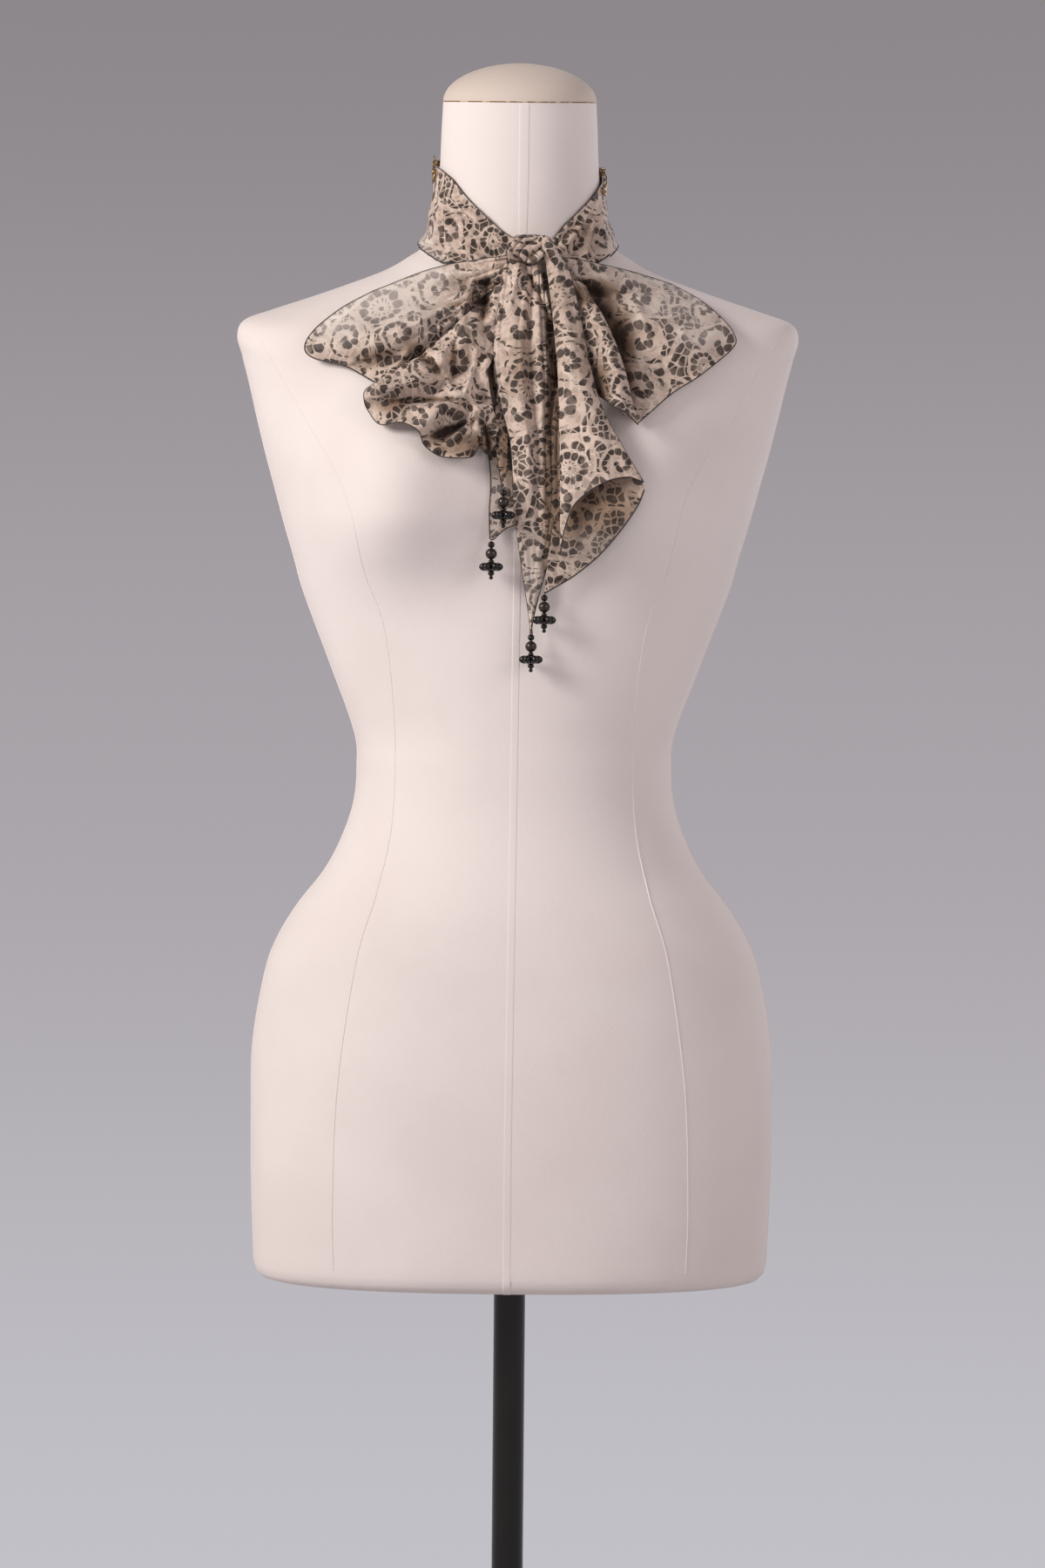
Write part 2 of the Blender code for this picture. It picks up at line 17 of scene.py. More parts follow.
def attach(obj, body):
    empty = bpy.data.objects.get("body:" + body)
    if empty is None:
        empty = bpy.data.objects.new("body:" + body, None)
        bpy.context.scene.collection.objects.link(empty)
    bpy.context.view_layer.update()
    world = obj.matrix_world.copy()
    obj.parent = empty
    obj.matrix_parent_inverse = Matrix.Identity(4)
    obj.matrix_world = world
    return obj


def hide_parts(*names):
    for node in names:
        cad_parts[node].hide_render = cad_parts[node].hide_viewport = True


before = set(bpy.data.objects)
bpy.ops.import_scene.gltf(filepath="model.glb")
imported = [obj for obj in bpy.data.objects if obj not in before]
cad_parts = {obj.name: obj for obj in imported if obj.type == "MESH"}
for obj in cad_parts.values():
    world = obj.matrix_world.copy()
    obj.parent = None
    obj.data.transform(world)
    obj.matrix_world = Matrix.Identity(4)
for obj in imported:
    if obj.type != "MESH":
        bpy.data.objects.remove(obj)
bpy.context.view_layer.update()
print("solids to dress:", len(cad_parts))

# %% [markdown]
# ## Camera and room
# The camera goes in first, because every later choice is judged through it. The form is
# seen from the front, almost level, from 2.8 m away, and the picture leans by half a
# degree. A long lens keeps the shoulders flat. The background is a grey studio wall that
# gets lighter towards the floor. A wall would hide the form from behind, so the colour
# goes into the world instead, by the height that each ray of light looks to.

# %% Camera
MM = 0.001
CAMERA_DISTANCE = 2.8
CAMERA_HEIGHT = 0.996
CAMERA_SIDE = 0.006
VIEW_HEIGHT = 1.098
CAMERA_ROLL = math.radians(0.5)
SENSOR = 36.0

camera_data = bpy.data.cameras.new("camera")
camera_data.lens = SENSOR * CAMERA_DISTANCE / VIEW_HEIGHT
camera_data.sensor_width = SENSOR
camera_data.sensor_fit = "AUTO"
camera = bpy.data.objects.new("camera", camera_data)
camera.location = (CAMERA_SIDE, -CAMERA_DISTANCE, CAMERA_HEIGHT)
camera.rotation_euler = (math.radians(90), -CAMERA_ROLL, 0)
bpy.context.scene.collection.objects.link(camera)
bpy.context.scene.camera = camera
print("lens", round(camera_data.lens, 1), "mm")


# %% Node helpers
def set_values(node, values):
    """Sets plain values on the named sockets of a node or a shader."""
    for name, value in values.items():
        node.inputs[name].default_value = value


def step(tree, operation, *values, clamp=False):
    """One Math node; each value is a number or the output of another node."""
    node = tree.nodes.new("ShaderNodeMath")
    node.operation = operation
    node.use_clamp = clamp
    for socket, value in zip(node.inputs, values):
        if isinstance(value, (int, float)):
            socket.default_value = value
        else:
            tree.links.new(value, socket)
    return node.outputs[0]


def ramp(tree, value, low, high, start=0.0, end=1.0):
    """Smooth change from start to end while value goes from low to high."""
    node = tree.nodes.new("ShaderNodeMapRange")
    node.interpolation_type = "SMOOTHSTEP"
    tree.links.new(value, node.inputs["Value"])
    set_values(node, {"From Min": low, "From Max": high, "To Min": start, "To Max": end})
    return node.outputs["Result"]


def blend_colours(tree, factor, first, second):
    """Mix node on two colours; each is a colour or the output of another node."""
    node = tree.nodes.new("ShaderNodeMix")
    node.data_type = "RGBA"
    if isinstance(factor, (int, float)):
        node.inputs[0].default_value = factor
    else:
        tree.links.new(factor, node.inputs[0])
    for socket, value in ((node.inputs[6], first), (node.inputs[7], second)):
        if isinstance(value, tuple):
            socket.default_value = (*value, 1.0)
        else:
            tree.links.new(value, socket)
    return node.outputs[2]


# %% Studio light
WALL_TOP = (0.266, 0.243, 0.260)
WALL_MIDDLE = (0.398, 0.370, 0.396)
WALL_FOOT = (0.540, 0.534, 0.575)
# How high a ray looks where one tone of the wall gives way to the next
FOOT_TO_MIDDLE = (-0.21, 0.02)
MIDDLE_TO_TOP = (-0.01, 0.21)

world = bpy.data.worlds.new("studio")
world.use_nodes = True
tree = world.node_tree
direction = tree.nodes.new("ShaderNodeTexCoord").outputs["Generated"]
split = tree.nodes.new("ShaderNodeSeparateXYZ")
tree.links.new(direction, split.inputs[0])
upper = ramp(tree, split.outputs["Z"], *MIDDLE_TO_TOP)
lower = ramp(tree, split.outputs["Z"], *FOOT_TO_MIDDLE)
wall = blend_colours(tree, lower, WALL_FOOT, WALL_MIDDLE)
wall = blend_colours(tree, upper, wall, WALL_TOP)
tree.links.new(wall, tree.nodes["Background"].inputs["Color"])
tree.nodes["Background"].inputs["Strength"].default_value = 1.0
bpy.context.scene.world = world
bpy.context.scene.view_settings.view_transform = "Standard"

# Name, place, point that the lamp looks at, size, power in watts, colour
LAMPS = [
    ("key_left", (-2.1, -1.45, 2.2), (0.0, 0.0, 1.2), 1.0, 64.0, (1.0, 0.97, 0.94)),
    ("fill_right", (2.2, -1.9, 2.0), (0.0, 0.0, 1.25), 1.6, 21.0, (1.0, 0.95, 0.95)),
    ("back_right", (1.4, 1.8, 1.9), (0.0, 0.0, 1.3), 1.0, 12.0, (0.95, 0.95, 1.0)),
]
for name, place, target, size, power, colour in LAMPS:
    lamp = bpy.data.lights.new(name, "AREA")
    lamp.size = size
    lamp.energy = power
    lamp.color = colour
    holder = bpy.data.objects.new(name, lamp)
    holder.location = place
    aim = Vector(target) - Vector(place)
    holder.rotation_euler = aim.to_track_quat("-Z", "Y").to_euler()
    bpy.context.scene.collection.objects.link(holder)
print("lamps:", len(LAMPS))

# %% Floor
FLOOR_RADIUS = 1.7
FLOOR_BELOW = 0.0005

mesh = bmesh.new()
bmesh.ops.create_circle(mesh, cap_ends=True, segments=96, radius=FLOOR_RADIUS)
bmesh.ops.translate(mesh, verts=mesh.verts, vec=(0, 0, -FLOOR_BELOW))
floor_data = bpy.data.meshes.new("floor")
mesh.to_mesh(floor_data)
mesh.free()
floor = bpy.data.objects.new("floor", floor_data)
bpy.context.scene.collection.objects.link(floor)
floor_finish = bpy.data.materials.new("pale_floor")
floor_finish.use_nodes = True
floor_shader = floor_finish.node_tree.nodes["Principled BSDF"]
set_values(floor_shader, {"Base Color": (0.62, 0.61, 0.63, 1), "Roughness": 0.8})
floor_data.materials.append(floor_finish)

# %% [markdown]
# ## The dress form
# A dress form is a padded torso under a tight knitted cover. Each ring below is one level
# of the body: how high it lies at the side, in front and behind, how wide and how deep it
# is. The rings aren't flat near the neck, because a real body slopes there. A smooth
# curve through the rings gives the surface, and a grid is wrapped round it, which is
# easier to control than sculpting and repeats the sizes of the solid exactly.

# %% Sizes of the form
FORM_UNDERSIDE = 650.0
FORM_EDGE = 11.0
BUST_APART = 88.0
BUST_HEIGHT = 528.0
BUST_RISE = 30.0
BUST_SPREAD = 48.0
BUST_ABOVE = 75.0
BUST_BELOW = 45.0
BUST_FADE = 1.6

# From the neck down to the hem: height at the side, half width, height in front,
# depth in front, height behind, depth behind, squareness, middle of the depth
FORM_RINGS = np.array([
    (821.8, 53.5, 813.0, 62.0, 830.0, 42.0, 2.00, -10.0),
    (800.0, 54.6, 792.0, 60.0, 807.0, 46.0, 2.00, -7.0),
    (779.0, 55.5, 770.0, 58.0, 786.0, 51.0, 2.00, -3.5),
    (742.5, 58.5, 729.0, 56.0, 752.0, 62.0, 2.00, 3.0),
    (724.0, 66.0, 706.0, 55.5, 736.0, 70.0, 2.00, 7.0),
    (715.0, 78.0, 697.0, 57.0, 727.0, 75.0, 2.00, 9.0),
    (706.0, 94.0, 690.0, 60.0, 718.0, 79.0, 2.00, 10.0),
    (696.8, 118.0, 681.0, 64.0, 708.0, 83.0, 2.10, 11.0),
    (687.6, 144.6, 671.0, 69.0, 697.0, 87.0, 2.20, 12.0),
    (678.5, 172.0, 659.0, 74.0, 684.0, 91.0, 2.35, 12.0),
    (671.0, 192.0, 645.0, 79.0, 668.0, 94.0, 2.50, 12.0),
    (660.0, 197.0, 628.0, 84.5, 650.0, 96.0, 2.55, 12.0),
    (645.0, 193.0, 612.0, 89.0, 632.0, 97.0, 2.50, 11.0),
    (626.6, 188.2, 596.0, 92.5, 615.0, 97.5, 2.45, 10.0),
    (602.0, 182.4, 578.0, 97.0, 592.0, 97.0, 2.40, 9.0),
    (577.8, 176.3, 560.0, 100.0, 571.0, 96.0, 2.35, 8.0),
    (553.4, 169.6, 543.0, 101.0, 549.0, 95.0, 2.30, 7.0),
    (529.0, 162.9, 522.0, 101.0, 526.0, 93.0, 2.25, 6.0),
    (504.6, 155.6, 501.0, 98.0, 503.0, 90.0, 2.20, 5.0),
    (480.0, 148.5, 479.0, 94.0, 480.0, 86.0, 2.15, 4.0),
    (431.4, 130.0, 431.4, 90.0, 431.4, 80.0, 2.10, 3.0),
    (382.6, 112.0, 382.6, 87.5, 382.6, 77.0, 2.05, 2.0),
    (358.0, 109.8, 358.0, 88.0, 358.0, 78.0, 2.05, 2.0),
    (333.8, 111.6, 333.8, 89.0, 333.8, 80.0, 2.05, 2.0),
    (309.4, 119.3, 309.4, 92.0, 309.4, 85.0, 2.05, 2.0),
    (285.0, 131.8, 285.0, 97.0, 285.0, 92.0, 2.05, 2.0),
    (260.6, 150.7, 260.6, 102.0, 260.6, 101.0, 2.10, 3.0),
    (236.0, 165.3, 236.0, 105.0, 236.0, 108.0, 2.15, 4.0),
    (211.8, 173.5, 211.8, 107.0, 211.8, 114.0, 2.15, 5.0),
    (163.0, 181.5, 163.0, 108.5, 163.0, 121.0, 2.20, 6.0),
    (114.0, 182.0, 114.0, 108.0, 114.0, 122.0, 2.20, 6.0),
    (65.4, 181.5, 65.4, 106.0, 65.4, 118.0, 2.20, 6.0),
    (FORM_EDGE, 179.3, FORM_EDGE, 102.0, FORM_EDGE, 113.0, 2.20, 6.0),
])


# %% Smooth curves through rows of sizes
def curve_part(points, index, part):
    """Place on the smooth curve through points, a part of the way past a point."""
    before = 2 * points[:1] - points[1:2]
    after = 2 * points[-1:] - points[-2:-1]
    padded = np.concatenate([before, points, after])
    one, two, three, four = (padded[index + k] for k in range(4))
    bend = 2 * one - 5 * two + 4 * three - four
    twist = 3 * two - one - 3 * three + four
    return 0.5 * (2 * two + (three - one) * part + bend * part ** 2 + twist * part ** 3)


def resample(points, count):
    """Smooth curve through points, read at count evenly spaced places."""
    last = len(points) - 1
    places = np.linspace(0, last, count)
    index = np.minimum(places.astype(int), last - 1)
    part = (places - index).reshape((-1,) + (1,) * (points.ndim - 1))
    return curve_part(points, index, part)


def ring_point(values, angle):
    """Point of one ring of the form, in millimetres above its underside."""
    side_height, half_width, front_height, front, back_height, back, square, middle = values
    lean = 0.5 * (back_height - front_height)
    dip = 0.5 * (back_height + front_height) - side_height
    cosine = math.cos(angle)
    sine = math.sin(angle)
    across = half_width * math.copysign(abs(cosine) ** (2 / square), cosine)
    depth = math.copysign(abs(sine) ** (2 / square), sine)
    reach = back - middle if depth > 0 else front + middle
    height = side_height + lean * depth + dip * depth ** 2
    forward = middle + reach * depth
    if depth < 0:
        spread = BUST_ABOVE if height > BUST_HEIGHT else BUST_BELOW
        sideways = ((abs(across) - BUST_APART) / BUST_SPREAD) ** 2
        upwards = ((height - BUST_HEIGHT) / spread) ** 2
        rise = BUST_RISE * math.exp(-sideways - upwards)
        forward -= rise * min(1.0, -BUST_FADE * depth)
    return Vector((across, forward, height))


# %% Objects and meshes
MERGE = 0.001


def close_up(mesh):
    """Joins the seam of a wrapped grid, fills its open ends and turns its faces outwards."""
    bmesh.ops.remove_doubles(mesh, verts=mesh.verts, dist=MERGE)
    rims = [edge for edge in mesh.edges if edge.is_boundary]
    bmesh.ops.holes_fill(mesh, edges=rims, sides=0)
    bmesh.ops.recalc_face_normals(mesh, faces=mesh.faces)


def add_wall(piece, name, thickness, offset):
    """Gives a thin piece its thickness in millimetres."""
    wall = piece.modifiers.new(name, "SOLIDIFY")
    wall.thickness = thickness * MM
    wall.offset = offset


def show(name, data):
    """Puts a mesh in the scene as a piece of the object."""
    piece = bpy.data.objects.new(name, data)
    bpy.context.scene.collection.objects.link(piece)
    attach(piece, "root")
    print(name, "faces:", len(data.polygons))
    return piece


def add_piece(name, mesh, finishes):
    """Turns a millimetre bmesh above the form's underside into a piece of the object."""
    bmesh.ops.translate(mesh, verts=mesh.verts, vec=(0, 0, FORM_UNDERSIDE))
    bmesh.ops.scale(mesh, verts=mesh.verts, vec=(MM, MM, MM))
    data = bpy.data.meshes.new(name)
    mesh.to_mesh(data)
    mesh.free()
    data.shade_smooth()
    for finish in finishes:
        data.materials.append(finish)
    return show(name, data)


def new_finish(name, roughness, colour=(0.5, 0.5, 0.5)):
    """Material with a Principled shader, its tree and its shader."""
    finish = bpy.data.materials.new(name)
    finish.use_nodes = True
    shader = finish.node_tree.nodes["Principled BSDF"]
    set_values(shader, {"Roughness": roughness, "Base Color": (*colour, 1.0)})
    return finish, finish.node_tree, shader


def paint(tree, shader, factor, first, second):
    """Base colour that goes from the first to the second colour with a factor."""
    colour = blend_colours(tree, factor, first, second)
    tree.links.new(colour, shader.inputs["Base Color"])


def noise_value(tree, place, scale, detail=2.0, rough=0.5):
    """Cloudy value from 0 to 1."""
    node = tree.nodes.new("ShaderNodeTexNoise")
    set_values(node, {"Scale": scale, "Detail": detail, "Roughness": rough})
    tree.links.new(place, node.inputs["Vector"])
    return node.outputs["Fac"]


def object_place(tree):
    """Place on the whole object, in metres."""
    return tree.nodes.new("ShaderNodeTexCoord").outputs["Object"]


def bump(tree, shader, height, distance, strength):
    """Fine relief in the shader's normal, at most a distance in metres high."""
    node = tree.nodes.new("ShaderNodeBump")
    set_values(node, {"Distance": distance, "Strength": strength})
    tree.links.new(height, node.inputs["Height"])
    tree.links.new(node.outputs["Normal"], shader.inputs["Normal"])


# %% [markdown]
# ## The knitted cover
# The cover is a fine matt jersey, warm white and a little pink. Up close it has small
# upright stitches, and from a step away it is even, with faint clouds where hands have
# touched it. Stretched Voronoi cells stand in for the stitches in the bump.

# %% Finish of the cover
STITCHES_IN_A_METRE = 1300.0
STITCH_TALL = 0.55


def knit_finish(name, light, shade):
    """Matt jersey with upright stitches and faint clouds."""
    finish, tree, shader = new_finish(name, 0.82)
    place = object_place(tree)
    clouds = noise_value(tree, place, 9.0, 3.0)
    paint(tree, shader, ramp(tree, clouds, 0.35, 0.7), light, shade)
    stretch = tree.nodes.new("ShaderNodeMapping")
    stretch.inputs["Scale"].default_value = (1.0, 1.0, STITCH_TALL)
    tree.links.new(place, stretch.inputs["Vector"])
    stitches = tree.nodes.new("ShaderNodeTexVoronoi")
    stitches.inputs["Scale"].default_value = STITCHES_IN_A_METRE
    tree.links.new(stretch.outputs["Vector"], stitches.inputs["Vector"])
    bump(tree, shader, stitches.outputs["Distance"], 0.0002, 0.35)
    sheen = {"Sheen Weight": 0.12, "Sheen Roughness": 0.5, "Specular IOR Level": 0.25}
    set_values(shader, sheen)
    return finish


cover_knit = knit_finish("cover_knit", (0.80, 0.715, 0.675), (0.76, 0.67, 0.63))
cap_knit = knit_finish("cap_knit", (0.64, 0.54, 0.465), (0.585, 0.485, 0.405))

# %% Surface of the form
FORM_ROUND = 160
FORM_DOWN = 240
EDGE_ROWS = 3


def form_grid(around, down):
    """Grid wrapped into the form's surface, closed at the seam and at both ends."""
    rings = resample(FORM_RINGS, down)
    steps = down - 1 + EDGE_ROWS
    mesh = bmesh.new()
    bmesh.ops.create_grid(mesh, x_segments=around, y_segments=steps, size=0.5)
    for point in mesh.verts:
        angle = 2 * math.pi * (point.co.x + 0.5)
        row = round((0.5 - point.co.y) * steps)
        point.co = ring_point(rings[min(row, down - 1)], angle)
        if row >= down:
            turn = math.radians(90) * (row - down + 1) / EDGE_ROWS
            outward = Vector((point.co.x, point.co.y, 0)).normalized()
            point.co -= outward * FORM_EDGE * (1 - math.cos(turn))
            point.co.z = FORM_EDGE * (1 - math.sin(turn))
    close_up(mesh)
    return mesh


form_mesh = form_grid(FORM_ROUND, FORM_DOWN)
surface = BVHTree.FromBMesh(form_mesh)
form = add_piece("form_cover", form_mesh, [cover_knit])
form.data.set_sharp_from_angle(angle=math.radians(50))
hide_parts("form_body")


# Farther out than any part of the form
FAR = 400.0


def front_of_form(across, height):
    """Distance of the form's front from its middle plane, in millimetres."""
    hit = surface.ray_cast(Vector((across, -FAR, height)), Vector((0, 1, 0)))[0]
    return -hit.y


print("form, front of the bust:", round(front_of_form(BUST_APART, BUST_HEIGHT)), "mm")

# %% [markdown]
# ## Cap of the neck
# A shallow wooden dome under the same knit closes the neck. It is a ring of the neck
# pulled in step by step along a quarter circle. A thin golden line, worn away in places,
# runs along its seam, and a narrow tube with a broken colour gives that.

# %% Cap and its golden line
CAP_RISE = 26.8
CAP_GAP = 0.4
CAP_ROUND = 1.05
CAP_SIDES = 128
CAP_STEPS = 24
GOLD_LINE = 0.45

mesh = bmesh.new()
bmesh.ops.create_grid(mesh, x_segments=CAP_SIDES, y_segments=CAP_STEPS, size=0.5)
turns = [2 * math.pi * side / CAP_SIDES for side in range(CAP_SIDES)]
seam = [ring_point(FORM_RINGS[0], turn) for turn in turns]
seam_centre = sum(seam, Vector()) / len(seam)
for point in mesh.verts:
    angle = 2 * math.pi * (point.co.x + 0.5)
    turn = math.radians(90) * (0.5 - point.co.y)
    edge = ring_point(FORM_RINGS[0], angle)
    pulled = seam_centre + (edge - seam_centre) * math.cos(turn) ** CAP_ROUND
    point.co = pulled + Vector((0, 0, CAP_GAP + CAP_RISE * math.sin(turn)))
close_up(mesh)
cap = add_piece("neck_cap_cover", mesh, [cap_knit])
cap.data.set_sharp_from_angle(angle=math.radians(60))
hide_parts("neck_cap")


def tube_along(name, points, radius, finish, closed=False, sides=3):
    """Round tube along millimetre points, made from a bevelled curve."""
    data = bpy.data.curves.new(name, "CURVE")
    data.dimensions = "3D"
    data.bevel_depth = radius * MM
    data.bevel_resolution = sides
    data.use_fill_caps = not closed
    spline = data.splines.new("POLY")
    spline.points.add(len(points) - 1)
    for target, point in zip(spline.points, points):
        raised = Vector(point) + Vector((0, 0, FORM_UNDERSIDE))
        target.co = (*(raised * MM), 1)
    spline.use_cyclic_u = closed
    guide = bpy.data.objects.new(name, data)
    bpy.context.scene.collection.objects.link(guide)
    bpy.context.view_layer.update()
    solid = bpy.data.meshes.new_from_object(guide)
    bpy.data.objects.remove(guide, do_unlink=True)
    solid.name = name
    solid.shade_smooth()
    solid.materials.clear()
    solid.materials.append(finish)
    return show(name, solid)


gold_line, tree, shader = new_finish("worn_gold_line", 0.55)
worn = ramp(tree, noise_value(tree, object_place(tree), 160.0, 3.0), 0.42, 0.52)
paint(tree, shader, worn, (0.60, 0.47, 0.31), (0.25, 0.14, 0.06))
cap_line = tube_along("cap_line", seam, GOLD_LINE, gold_line, closed=True)

# %% [markdown]
# ## Seams of the cover
# The cover is cut in panels. A narrow flat tape runs down the centre front, and curved
# seams run from the armholes over the bust to the hem, in front and behind. Each seam is
# a low welt, so a thin tube is sunk into the surface along the seam's own points. The
# tape is a strip of grid laid on the surface and turned under the lower edge.

# %% Welts along the seams
WELT = 0.7
# Heights, and how deep the welt over the bust is sunk at each of them
WELT_SINK = (300, 420, 560), (0.28, 0.42, 0.56)
FRONT_ROWS = 110
SIDE_ROWS = 120
BACK_ROWS = 160
RINGS_BELOW_ARM = 12

# Height and distance from the centre of the seam over the bust
BUST_SEAM = np.array([
    (652, 178), (628, 164), (600, 148), (560, 124), (531, 112),
    (490, 103), (450, 89), (385, 82), (320, 83), (270, 93),
    (225, 106), (140, 118), (60, 121), (14, 120),
], dtype=float)


def seam_points(rows, side, behind=False):
    """Points on the form along a seam, sunk so that it fades out over the bust."""
    points = []
    toward = Vector((0, -1, 0)) if behind else Vector((0, 1, 0))
    for height, across in resample(rows, FRONT_ROWS):
        start = Vector((side * across, 0, height)) - toward * FAR
        hit = surface.ray_cast(start, toward)[0]
        if hit is not None:
            points.append(hit + toward * float(np.interp(height, *WELT_SINK)))
    return points


for name, side, behind in (
    ("left_front", -1, False), ("right_front", 1, False),
    ("left_back", -1, True), ("right_back", 1, True),
):
    route = seam_points(BUST_SEAM, side, behind)
    tube_along("seam_" + name, route, WELT, cover_knit, sides=2)

for name, angle in (("right", 0.0), ("left", math.pi)):
    rings = resample(FORM_RINGS[RINGS_BELOW_ARM:], SIDE_ROWS)
    route = [ring_point(values, angle) for values in rings]
    tube_along("seam_side_" + name, route, WELT, cover_knit, sides=2)
back_rings = resample(FORM_RINGS, BACK_ROWS)
back_route = [ring_point(values, math.pi / 2) for values in back_rings]
tube_along("seam_centre_back", back_route, WELT, cover_knit, sides=2)

# %% Tape down the centre front
TAPE_WIDTH = 5.6
TAPE_RISE = 0.14
TAPE_STITCH = 0.05
TAPE_THICKNESS = 0.1
TAPE_STITCH_AT = 0.8
TAPE_STITCH_WIDE = 0.1
TAPE_ACROSS = 8
TAPE_ROWS = 300
TAPE_TURN = 9
# Heights, and how much wider the tape is and how far it strays at each of them
TAPE_WIDER = (700, 760), (1.0, 1.4)
TAPE_STRAYS = (100, 780), (-1.8, 3.4)

mesh = bmesh.new()
tape_steps = TAPE_ROWS + TAPE_TURN
bmesh.ops.create_grid(mesh, x_segments=TAPE_ACROSS, y_segments=tape_steps, size=0.5)
tape_rings = resample(FORM_RINGS, TAPE_ROWS + 1)
tape_top = FORM_RINGS[0][2] - 1
for point in mesh.verts:
    row = round((0.5 - point.co.y) * tape_steps)
    on_form = ring_point(tape_rings[min(row, TAPE_ROWS)], -math.pi / 2)
    wider = float(np.interp(on_form.z, *TAPE_WIDER))
    beside = float(np.interp(on_form.z, *TAPE_STRAYS)) + point.co.x * TAPE_WIDTH * wider
    on_form.y = -front_of_form(beside, min(on_form.z, tape_top))
    turn = math.radians(90) * max(0, row - TAPE_ROWS) / TAPE_TURN
    if turn:
        on_form.y += FORM_EDGE * (1 - math.cos(turn))
        on_form.z = FORM_EDGE * (1 - math.sin(turn))
    edge = abs(point.co.x) * 2
    lift = TAPE_RISE * (1 - edge ** 6) - 0.5 * TAPE_THICKNESS * edge ** 6
    lift += TAPE_STITCH * math.exp(-((edge - TAPE_STITCH_AT) / TAPE_STITCH_WIDE) ** 2)
    outward = Vector((0, -math.cos(turn), -math.sin(turn)))
    point.co = on_form + Vector((beside, 0, 0)) + outward * lift
bmesh.ops.recalc_face_normals(mesh, faces=mesh.faces)
tape = add_piece("centre_tape", mesh, [cover_knit])
add_wall(tape, "Wall", TAPE_THICKNESS, 1.0)

# %% [markdown]
# ## Stand
# The form stands on a black steel tube in a round base. Both are smooth and glossy, with
# a little dust and fine rubbing in the gloss. They are turned shapes, so a profile is
# spun round the pole's axis, which gives true circles at any size.

# %% Glossy black paint
black_paint, tree, shader = new_finish("black_paint", 0.2)
place = object_place(tree)
patches = ramp(tree, noise_value(tree, place, 14.0, 4.0), 0.3, 0.8)
paint(tree, shader, patches, (0.006, 0.004, 0.003), (0.016, 0.011, 0.009))
rub = noise_value(tree, place, 120.0, 4.0, 0.7)
tree.links.new(ramp(tree, rub, 0.35, 0.75, 0.18, 0.3), shader.inputs["Roughness"])
set_values(shader, {"Specular IOR Level": 0.3, "Coat Weight": 0.12, "Coat Roughness": 0.1})


# %% Turned pieces of the stand
def turned(name, profile, finish, steps=96):
    """Solid turned round Z from (radius, height) in millimetres above the floor."""
    mesh = bmesh.new()
    points = [mesh.verts.new((radius, 0, height)) for radius, height in profile]
    for first, second in zip(points, points[1:]):
        mesh.edges.new((first, second))
    bmesh.ops.spin(
        mesh, geom=mesh.verts[:] + mesh.edges[:], cent=(0, 0, 0), axis=(0, 0, 1),
        angle=2 * math.pi, steps=steps, use_merge=True,
    )
    close_up(mesh)
    bmesh.ops.translate(mesh, verts=mesh.verts, vec=(0, 0, -FORM_UNDERSIDE))
    piece = add_piece(name, mesh, [finish])
    piece.data.set_sharp_from_angle(angle=math.radians(35))
    return piece


BASE_RADIUS = 205.0
BASE_THICKNESS = 10.0
BASE_FOOT = 0.6
BOSS_NECK = 19.0
BOSS_TOP = 42.4
POLE_RADIUS = 11.0
POLE_FROM = 42.8
POLE_TO = 649.6
CORNER = 3.0


def rounded_end(radius, height):
    """Rounded corner that ends in a flat top, as (radius, height) points."""
    turns = [math.radians(degrees) for degrees in range(0, 91, 15)]
    corner = [
        (radius - CORNER + CORNER * math.cos(turn), height - CORNER + CORNER * math.sin(turn))
        for turn in turns
    ]
    return corner + [(0, height)]


base_side = [(0, 0), (BASE_RADIUS - BASE_FOOT, 0), (BASE_RADIUS, BASE_FOOT)]
base_profile = base_side + rounded_end(BASE_RADIUS, BASE_THICKNESS)
base = turned("base_disc", base_profile, black_paint, 160)
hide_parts("base_plate")

boss_side = [(0, 10.4), (25, 10.4), (24.4, 12), (21.5, 20), (19.4, 36), (19, 39.4)]
boss = turned("boss_turned", boss_side + rounded_end(BOSS_NECK, BOSS_TOP), black_paint)
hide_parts("pole_boss")

pole_profile = [(0, POLE_FROM), (POLE_RADIUS, POLE_FROM), (POLE_RADIUS, POLE_TO), (0, POLE_TO)]
pole = turned("pole_tube", pole_profile, black_paint, 64)
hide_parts("pole")

# %% [markdown]
# ## Chiffon and its print
# Chiffon is thin and a little see-through, so a single layer over the form looks pale,
# and folded layers look darker and warmer. The print is a lace-like pattern in dark
# brown: small wheels with a centre dot, spokes and a ring of cells, scrolls that wind
# inwards, and a net of cells that fills the ground between them. Voronoi cells place the
# motifs, finer Voronoi cells make the net, and each motif's radius and angle cut it into
# small dark holes. All of it is built in the cloth's own flat coordinates, in metres, so
# it follows every fold at its true size.

# %% Sizes of the print
MM_IN_A_METRE = 1000.0
MOTIF = 31.0
MOTIF_FREE = 0.72
DISC = 12.3
DISC_RIM = 1.9
WOBBLE_SCALE = 0.09
WOBBLE = 6.0

# Wheel: spokes, and the ring of petals with their half sizes
SPOKES = 13.0
SPOKES_FROM, SPOKES_TO = 3.3, 4.6
PETALS = 12
PETAL_RING = 8.2
PETAL_HALF = (2.3, 1.9)

# Scroll: pitch of its winding, and its row of cells with their half sizes
PITCH = 9.0
COIL_MIDDLE = 0.6
COIL_START = 1.22
CELL_STEP = 4.4
CELL_HALF = (2.3, 2.05)

# Net: two sizes of cells, and the plain tape between the motifs
CELL_WIDE = 6.2
CELL_SMALL = 4.8
CELL_FREE = 0.85
TAPE_PLAIN, TAPE_FULL = 1.3, 1.8

